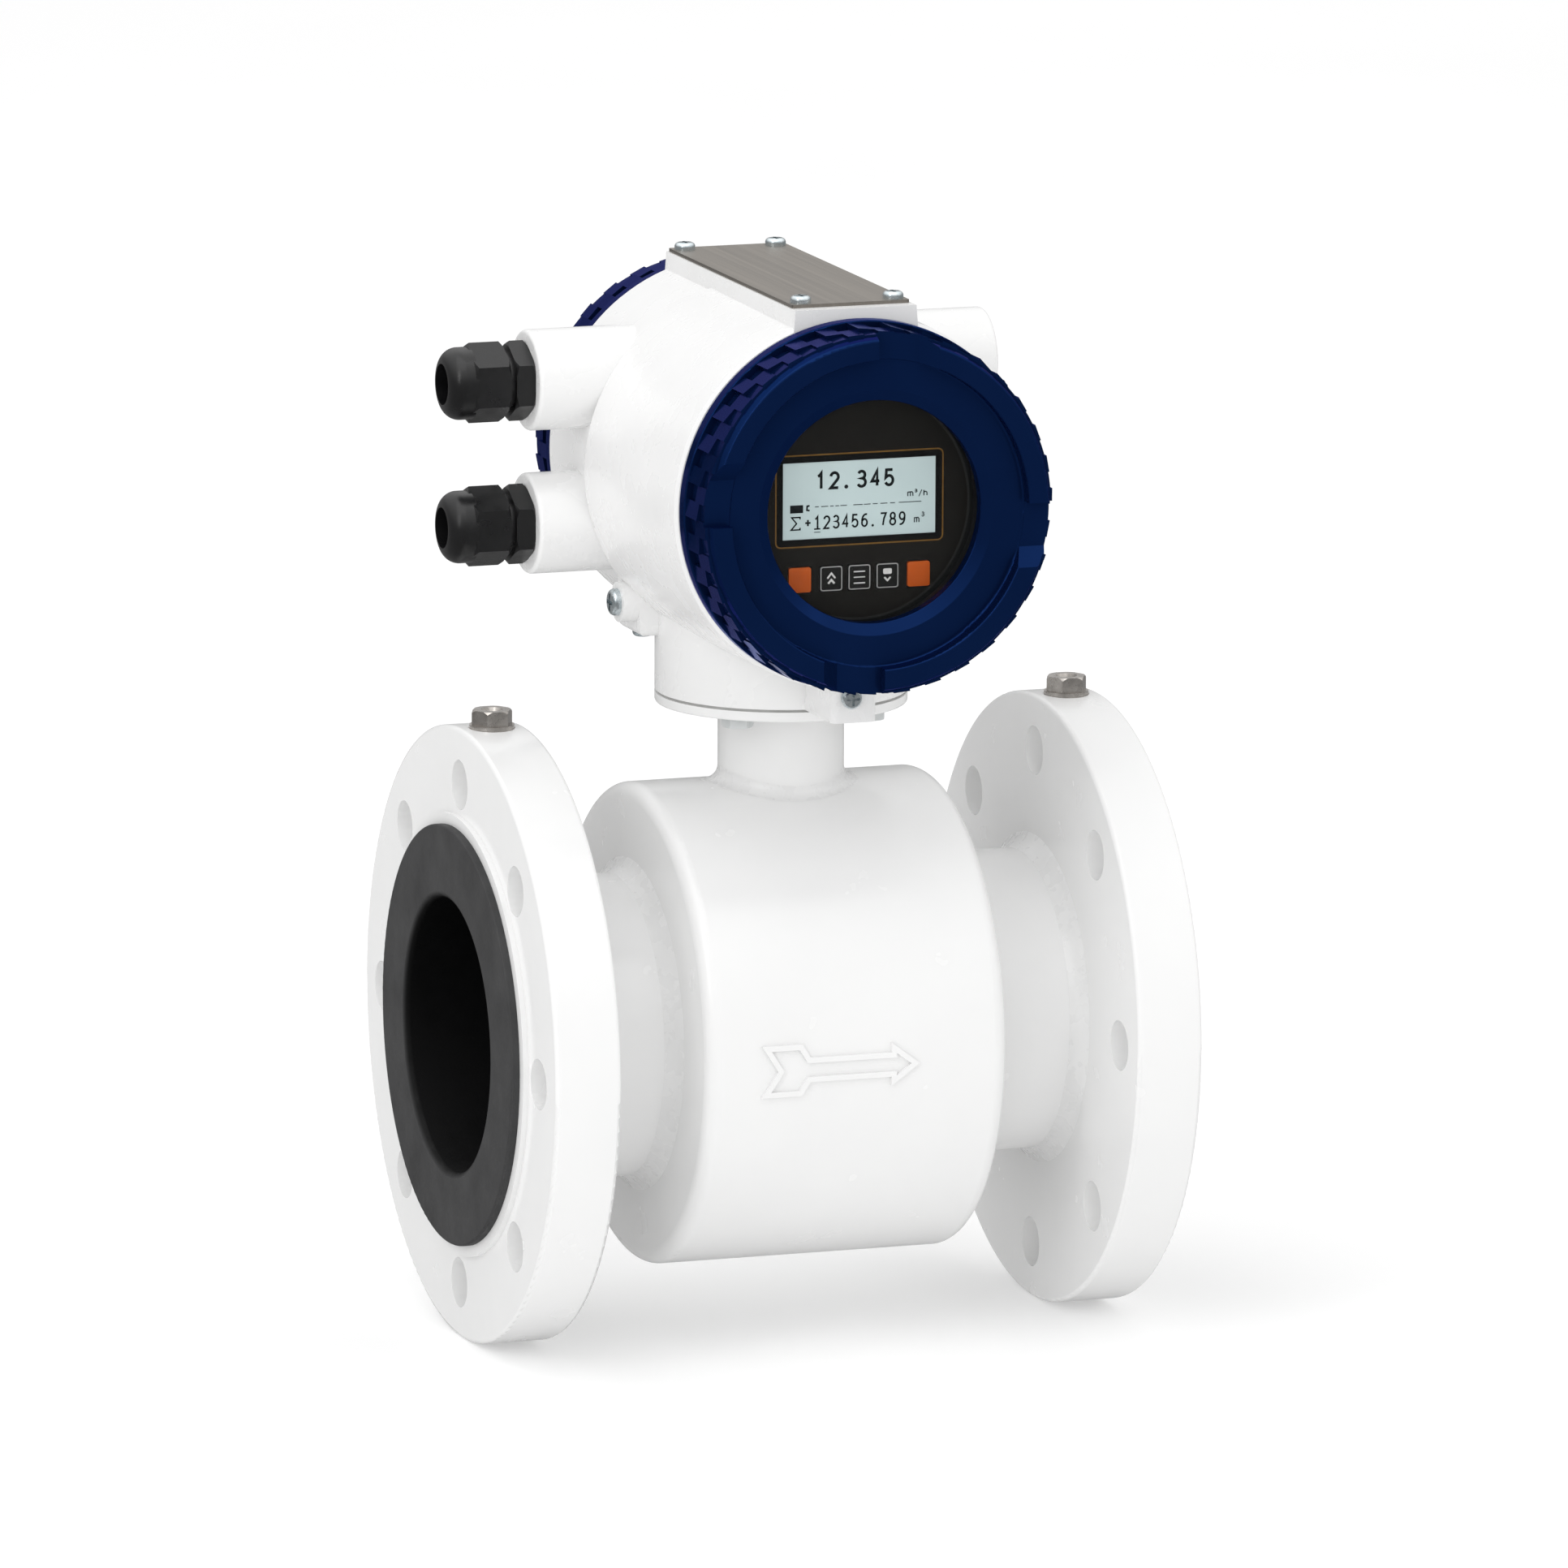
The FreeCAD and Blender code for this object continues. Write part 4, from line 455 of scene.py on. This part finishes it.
def figure(builder, sign, foot, size, stroke):
    """Adds one figure in strokes of one width; foot is the middle of its lower edge."""
    width = size[0] - stroke
    height = size[1] - stroke
    if sign == ".":
        radius = stroke * POINT_RADIUS
        round_dot = bow((0, 0), (radius, radius), 0, 360 - BOW_STEP)
        filled(builder, [(foot[0] + x, foot[1] + y + radius) for x, y in round_dot])
        return
    for line in FIGURES[sign]:
        moved = [(foot[0] + (x - 0.5) * width, foot[1] + stroke / 2 + y * height) for x, y in line]
        flat_strips(builder, moved, stroke)


def printed(name, builder, origin, body, finish, thickness):
    """Stands a flat drawing up on a face that looks along -Y, as a layer of the given thickness."""
    lift = bmesh.ops.extrude_face_region(builder, geom=list(builder.faces))
    verts = [g for g in lift["geom"] if isinstance(g, bmesh.types.BMVert)]
    bmesh.ops.translate(builder, verts=verts, vec=(0.0, 0.0, thickness))
    mesh = bpy.data.meshes.new(name)
    builder.to_mesh(mesh)
    builder.free()
    stand = Matrix(((1, 0, 0, 0), (0, 0, -1, 0), (0, 1, 0, 0), (0, 0, 0, 1)))
    mesh.transform(Matrix.Translation(origin) @ stand)
    mesh.materials.append(finish)
    piece = bpy.data.objects.new(name, mesh)
    bpy.context.scene.collection.objects.link(piece)
    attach(piece, body)


lcd_low, lcd_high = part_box("lcd_panel")
LCD_WIDTH = 56.6 * MM
LCD_HEIGHT = 27.2 * MM
BORDER_WIDTH = 2.6 * MM
BORDER_CORNER = 1.9 * MM
GOLD_WIDTH = 0.5 * MM
lcd_centre = Vector(((lcd_low.x + lcd_high.x) / 2, lcd_low.y, (lcd_low.z + lcd_high.z) / 2))
BASE_BODY = body_of(nodes["fascia"])[0]


def on_crystal(right, down):
    """Place on the crystal, measured from its upper left corner."""
    return (right * MM - LCD_WIDTH / 2, LCD_HEIGHT / 2 - down * MM)


# What the display shows, in millimetres to the right of and down from the crystal's upper left corner.
# A row has its first figure's middle, its foot, pitch, size of a figure, and stroke.
UPPER_ROW = {"start": 14.1, "foot": 10.0, "pitch": 5.07, "size": (3.8, 6.4), "stroke": 1.02}
LOWER_ROW = {"start": 9.4, "foot": 24.0, "pitch": 3.49, "size": (2.6, 4.9), "stroke": 0.64}
SUM_SIGN = ((6.5, 20.0), (6.5, 19.3), (3.4, 19.3), (5.2, 21.5), (3.2, 23.7), (6.5, 23.7), (6.5, 23.0))
LEVEL_BLOCK = ((2.8, 15.0), (2.8, 17.8), (7.6, 17.8), (7.6, 15.0))
LEVEL_MARK = ((10.0, 15.4), (9.1, 15.5), (9.0, 16.9), (10.0, 17.1))
# The cursor underlines the total's first figure, whose foot is a line of the same length.
CURSOR = {"start": 11.7, "end": 14.0, "down": 24.9}
UNDERLINED_FOOT_DOWN = 23.75
LINE_DOWN = 15.9
LINE_PIECES = (
    (12.0, 13.4), (14.3, 16.9), (17.6, 18.9), (19.5, 20.9), (21.4, 23.8), (26.2, 29.6), (30.1, 32.6),
    (33.4, 35.2), (36.2, 38.8), (39.8, 41.6), (43.0, 51.4),
)
SIGN_STROKE = 0.5
MARK_STROKE = 0.6
LINE_STROKE = 0.3
CURSOR_STROKE = 0.28
# Units: sign, middle, foot, size and stroke.
UNITS = (
    ("m", 47.3, 14.1, (2.3, 2.0), 0.42), ("3", 49.4, 12.7, (1.1, 1.3), 0.34),
    ("/", 51.0, 14.1, (1.7, 2.3), 0.36), ("h", 52.9, 14.1, (1.7, 1.9), 0.42),
    ("m", 49.7, 23.5, (2.1, 2.2), 0.42), ("3", 52.0, 21.4, (1.2, 1.8), 0.36),
)


def figures(builder, text, row):
    """Adds a row of figures; a decimal point stands a little to the left in its cell."""
    size = (row["size"][0] * MM, row["size"][1] * MM)
    for index, sign in enumerate(text):
        back = POINT_RADIUS * row["stroke"] if sign == "." else 0.0
        right = row["start"] + row["pitch"] * index - back
        figure(builder, sign, on_crystal(right, row["foot"]), size, row["stroke"] * MM)


def crystal_line(builder, points, width):
    """Adds a ribbon through places on the crystal, all in millimetres."""
    flat_strips(builder, [on_crystal(*point) for point in points], width * MM)


def across_cursor(down):
    """A level line with the cursor's two ends."""
    return ((CURSOR["start"], down), (CURSOR["end"], down))


def reading():
    """Flow rate, total with the sum sign, and level block, in the darker segments."""
    builder = bmesh.new()
    figures(builder, "12.345", UPPER_ROW)
    figures(builder, "+123456.789", LOWER_ROW)
    crystal_line(builder, across_cursor(UNDERLINED_FOOT_DOWN), SIGN_STROKE)
    crystal_line(builder, SUM_SIGN, SIGN_STROKE)
    filled(builder, [on_crystal(*point) for point in LEVEL_BLOCK])
    crystal_line(builder, LEVEL_MARK, MARK_STROKE)
    printed("lcd_reading", builder, lcd_centre, BASE_BODY, ink, CRYSTAL_INK)


def fine_reading():
    """Units, divided line and cursor, in thinner and paler segments."""
    builder = bmesh.new()
    for start, end in LINE_PIECES:
        crystal_line(builder, ((start, LINE_DOWN), (end, LINE_DOWN)), LINE_STROKE)
    crystal_line(builder, across_cursor(CURSOR["down"]), CURSOR_STROKE)
    for sign, right, down, (width, height), stroke in UNITS:
        figure(builder, sign, on_crystal(right, down), (width * MM, height * MM), stroke * MM)
    printed("lcd_fine_reading", builder, lcd_centre, BASE_BODY, faint_ink, CRYSTAL_INK)


def border_lines():
    """Black border printed round the crystal, with a gold line round that."""
    centre = Vector((lcd_centre.x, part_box("fascia")[0].y, lcd_centre.z))
    gap = BORDER_WIDTH / 2
    builder = bmesh.new()
    inner = rounded_corners(LCD_WIDTH + 2 * gap, LCD_HEIGHT + 2 * gap, BORDER_CORNER - gap)
    flat_strips(builder, inner, BORDER_WIDTH, closed=True)
    printed("display_black_border", builder, centre, BASE_BODY, black_print, BORDER_INK)
    builder = bmesh.new()
    reach = 2 * BORDER_WIDTH
    outer = rounded_corners(LCD_WIDTH + reach, LCD_HEIGHT + reach, BORDER_CORNER)
    flat_strips(builder, outer, GOLD_WIDTH, closed=True)
    printed("display_gold_line", builder, centre, BASE_BODY, gold, GOLD_INK)


reading()
fine_reading()
border_lines()


# Keys' printed outline, in metres, and their icons, in millimetres about the middle of a key:
# strokes as points and width, then filled patches.
OUTLINE_SIZE = (7.7 * MM, 8.3 * MM)
OUTLINE_CORNER = 0.75 * MM
OUTLINE_WIDTH = 0.36 * MM
BLOB_CORNER = 0.55


def key_face(node):
    """Middle of a key's front face."""
    low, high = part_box(node)
    return Vector(((low.x + high.x) / 2, low.y, (low.z + high.z) / 2))


def key_outline(node):
    """Prints the grey frame near the edge of a key's face."""
    builder = bmesh.new()
    flat_strips(builder, rounded_corners(*OUTLINE_SIZE, OUTLINE_CORNER), OUTLINE_WIDTH, closed=True)
    body = body_of(nodes[node])[0]
    printed(node + "_outline", builder, key_face(node), body, grey_print, KEY_INK)


def to_metres(points):
    return [(x * MM, y * MM) for x, y in points]


def key_icon(node, strokes, fills):
    """Prints a key's pale icon."""
    builder = bmesh.new()
    for points, width in strokes:
        flat_strips(builder, to_metres(points), width * MM)
    for points in fills:
        filled(builder, to_metres(points))
    body = body_of(nodes[node])[0]
    printed(node + "_icon", builder, key_face(node), body, pale_print, KEY_INK)


def rounded_blob(width, height, lift):
    """Outline of a filled rounded patch, its middle lifted above the key's."""
    return [(x, y + lift) for x, y in rounded_corners(width, height, BLOB_CORNER)]


KEY_ICONS = {
    "double_up_key": ((
        ([(-1.45, 0.1), (0.0, 1.9), (1.45, 0.1)], 0.62),
        ([(-1.15, -1.75), (0.0, -0.45), (1.15, -1.75)], 0.72),
    ), ()),
    "menu_key": ((
        ([(-2.1, 2.0), (2.1, 2.0)], 0.42),
        ([(-2.1, 0.0), (2.1, 0.0)], 0.36),
        ([(-2.1, -2.1), (2.1, -2.1)], 0.42),
    ), ()),
    "down_key": ((
        ([(-1.15, -0.55), (0.0, -1.75), (1.15, -0.55)], 0.62),
    ), (rounded_blob(3.2, 2.0, 1.55),)),
}
for node in KEY_ICONS:
    key_outline(node)
for node, (strokes, fills) in KEY_ICONS.items():
    key_icon(node, strokes, fills)


# ---------------------------------------------------------------- floor, light and camera

# Strength of the surroundings as the camera, diffuse surfaces and glossy surfaces see them.
BACKDROP = 1.1
FILL_LIGHT = 0.9
HORIZON_GLOSS = 0.3
CEILING_GLOSS = 1.5
# Heights of a direction between which gloss goes from the horizon's strength to the ceiling's.
GLOSS_RISE = (0.12, 0.75)
FLOOR_REACH = 14.0
# Area lights: name, place, target, size, watts, and whether they show in gloss.
SOFTBOXES = (
    ("top_box", (-0.5, -0.6, 2.6), (0.0, 0.0, 0.05), (2.4, 2.0), 14.0, True),
    ("left_strip", (-2.0, -1.6, 1.5), (0.0, 0.0, 0.15), (0.35, 1.6), 9.0, True),
    ("right_strip", (2.2, -1.4, 1.2), (0.0, 0.0, 0.15), (0.3, 1.4), 0.8, True),
    ("front_box", (-2.0, -3.2, 1.1), (0.0, 0.0, 0.08), (2.2, 2.0), 9.0, False),
)
# The camera stands on the -X, -Y side; its azimuth, elevation and roll are in degrees.
CAMERA_AZIMUTH = 19.1
CAMERA_ELEVATION = 10.9
CAMERA_ROLL = 0.25
CAMERA_DISTANCE = 5.5
CAMERA_AIM = (0.0013, 0.0, 0.0832)
LENS_MM = 354.8
SENSOR_MM = 36.0
CLIP_END = 60.0


def choice(tree, switch, off, on):
    """A number that is off where the switch is 0 and on where it is 1."""
    return linked(tree, "ShaderNodeMix", {"Factor": switch, "A": off, "B": on}).outputs["Result"]


def floor():
    """A plain floor under the lowest point of the part, unseen in its gloss."""
    low = cad_box[0]
    mesh = bpy.data.meshes.new("studio_floor")
    corners = [(-FLOOR_REACH, -FLOOR_REACH), (FLOOR_REACH, -FLOOR_REACH),
               (FLOOR_REACH, FLOOR_REACH), (-FLOOR_REACH, FLOOR_REACH)]
    mesh.from_pydata([(x, y, low[2]) for x, y in corners], [], [(0, 1, 2, 3)])
    mesh.materials.append(glowing_floor())
    piece = bpy.data.objects.new("studio_floor", mesh)
    piece.visible_glossy = False
    bpy.context.scene.collection.objects.link(piece)


def softbox(name, place, target, size, power, in_gloss):
    """An area light that looks from its place at its target."""
    data = bpy.data.lights.new(name, "AREA")
    data.shape = "RECTANGLE"
    data.size, data.size_y = size
    data.energy = power
    lamp = bpy.data.objects.new(name, data)
    lamp.location = place
    lamp.visible_glossy = in_gloss
    lamp.rotation_euler = (Vector(target) - Vector(place)).to_track_quat("-Z", "Y").to_euler()
    bpy.context.scene.collection.objects.link(lamp)


def studio():
    """White surroundings, which gloss sees as a bright ceiling over a darker horizon, and the lights."""
    world = bpy.data.worlds.new("studio")
    bpy.context.scene.world = world
    world.use_nodes = True
    tree = world.node_tree
    direction = tree.nodes.new("ShaderNodeTexCoord").outputs["Generated"]
    height = linked(tree, "ShaderNodeSeparateXYZ", {"Vector": direction}).outputs["Z"]
    seen_in_gloss = spread(tree, height, HORIZON_GLOSS, CEILING_GLOSS, *GLOSS_RISE)
    path = tree.nodes.new("ShaderNodeLightPath").outputs
    light = choice(tree, path["Is Glossy Ray"], FILL_LIGHT, seen_in_gloss)
    strength = choice(tree, path["Is Camera Ray"], light, BACKDROP)
    background = tree.nodes["Background"]
    background.inputs["Color"].default_value = (1.0, 1.0, 1.0, 1.0)
    tree.links.new(strength, background.inputs["Strength"])
    for box in SOFTBOXES:
        softbox(*box)


def camera():
    """A long lens far away, turned a little about its own axis."""
    azimuth = math.radians(CAMERA_AZIMUTH)
    elevation = math.radians(CAMERA_ELEVATION)
    roll = math.radians(CAMERA_ROLL)
    aim = Vector(CAMERA_AIM)
    look = Vector((
        math.sin(azimuth) * math.cos(elevation),
        math.cos(azimuth) * math.cos(elevation),
        -math.sin(elevation),
    ))
    right = Vector((math.cos(azimuth), -math.sin(azimuth), 0.0))
    up = right.cross(look)
    turned_right = right * math.cos(roll) + up * math.sin(roll)
    turned_up = up * math.cos(roll) - right * math.sin(roll)
    data = bpy.data.cameras.new("photo_camera")
    data.sensor_width = SENSOR_MM
    data.lens = LENS_MM
    data.clip_end = CLIP_END
    eye = bpy.data.objects.new("photo_camera", data)
    axes = Matrix((turned_right, turned_up, -look)).transposed()
    eye.matrix_world = Matrix.Translation(aim - look * CAMERA_DISTANCE) @ axes.to_4x4()
    bpy.context.scene.collection.objects.link(eye)
    bpy.context.scene.camera = eye


floor()
studio()
camera()
bpy.context.scene.view_settings.view_transform = "Standard"
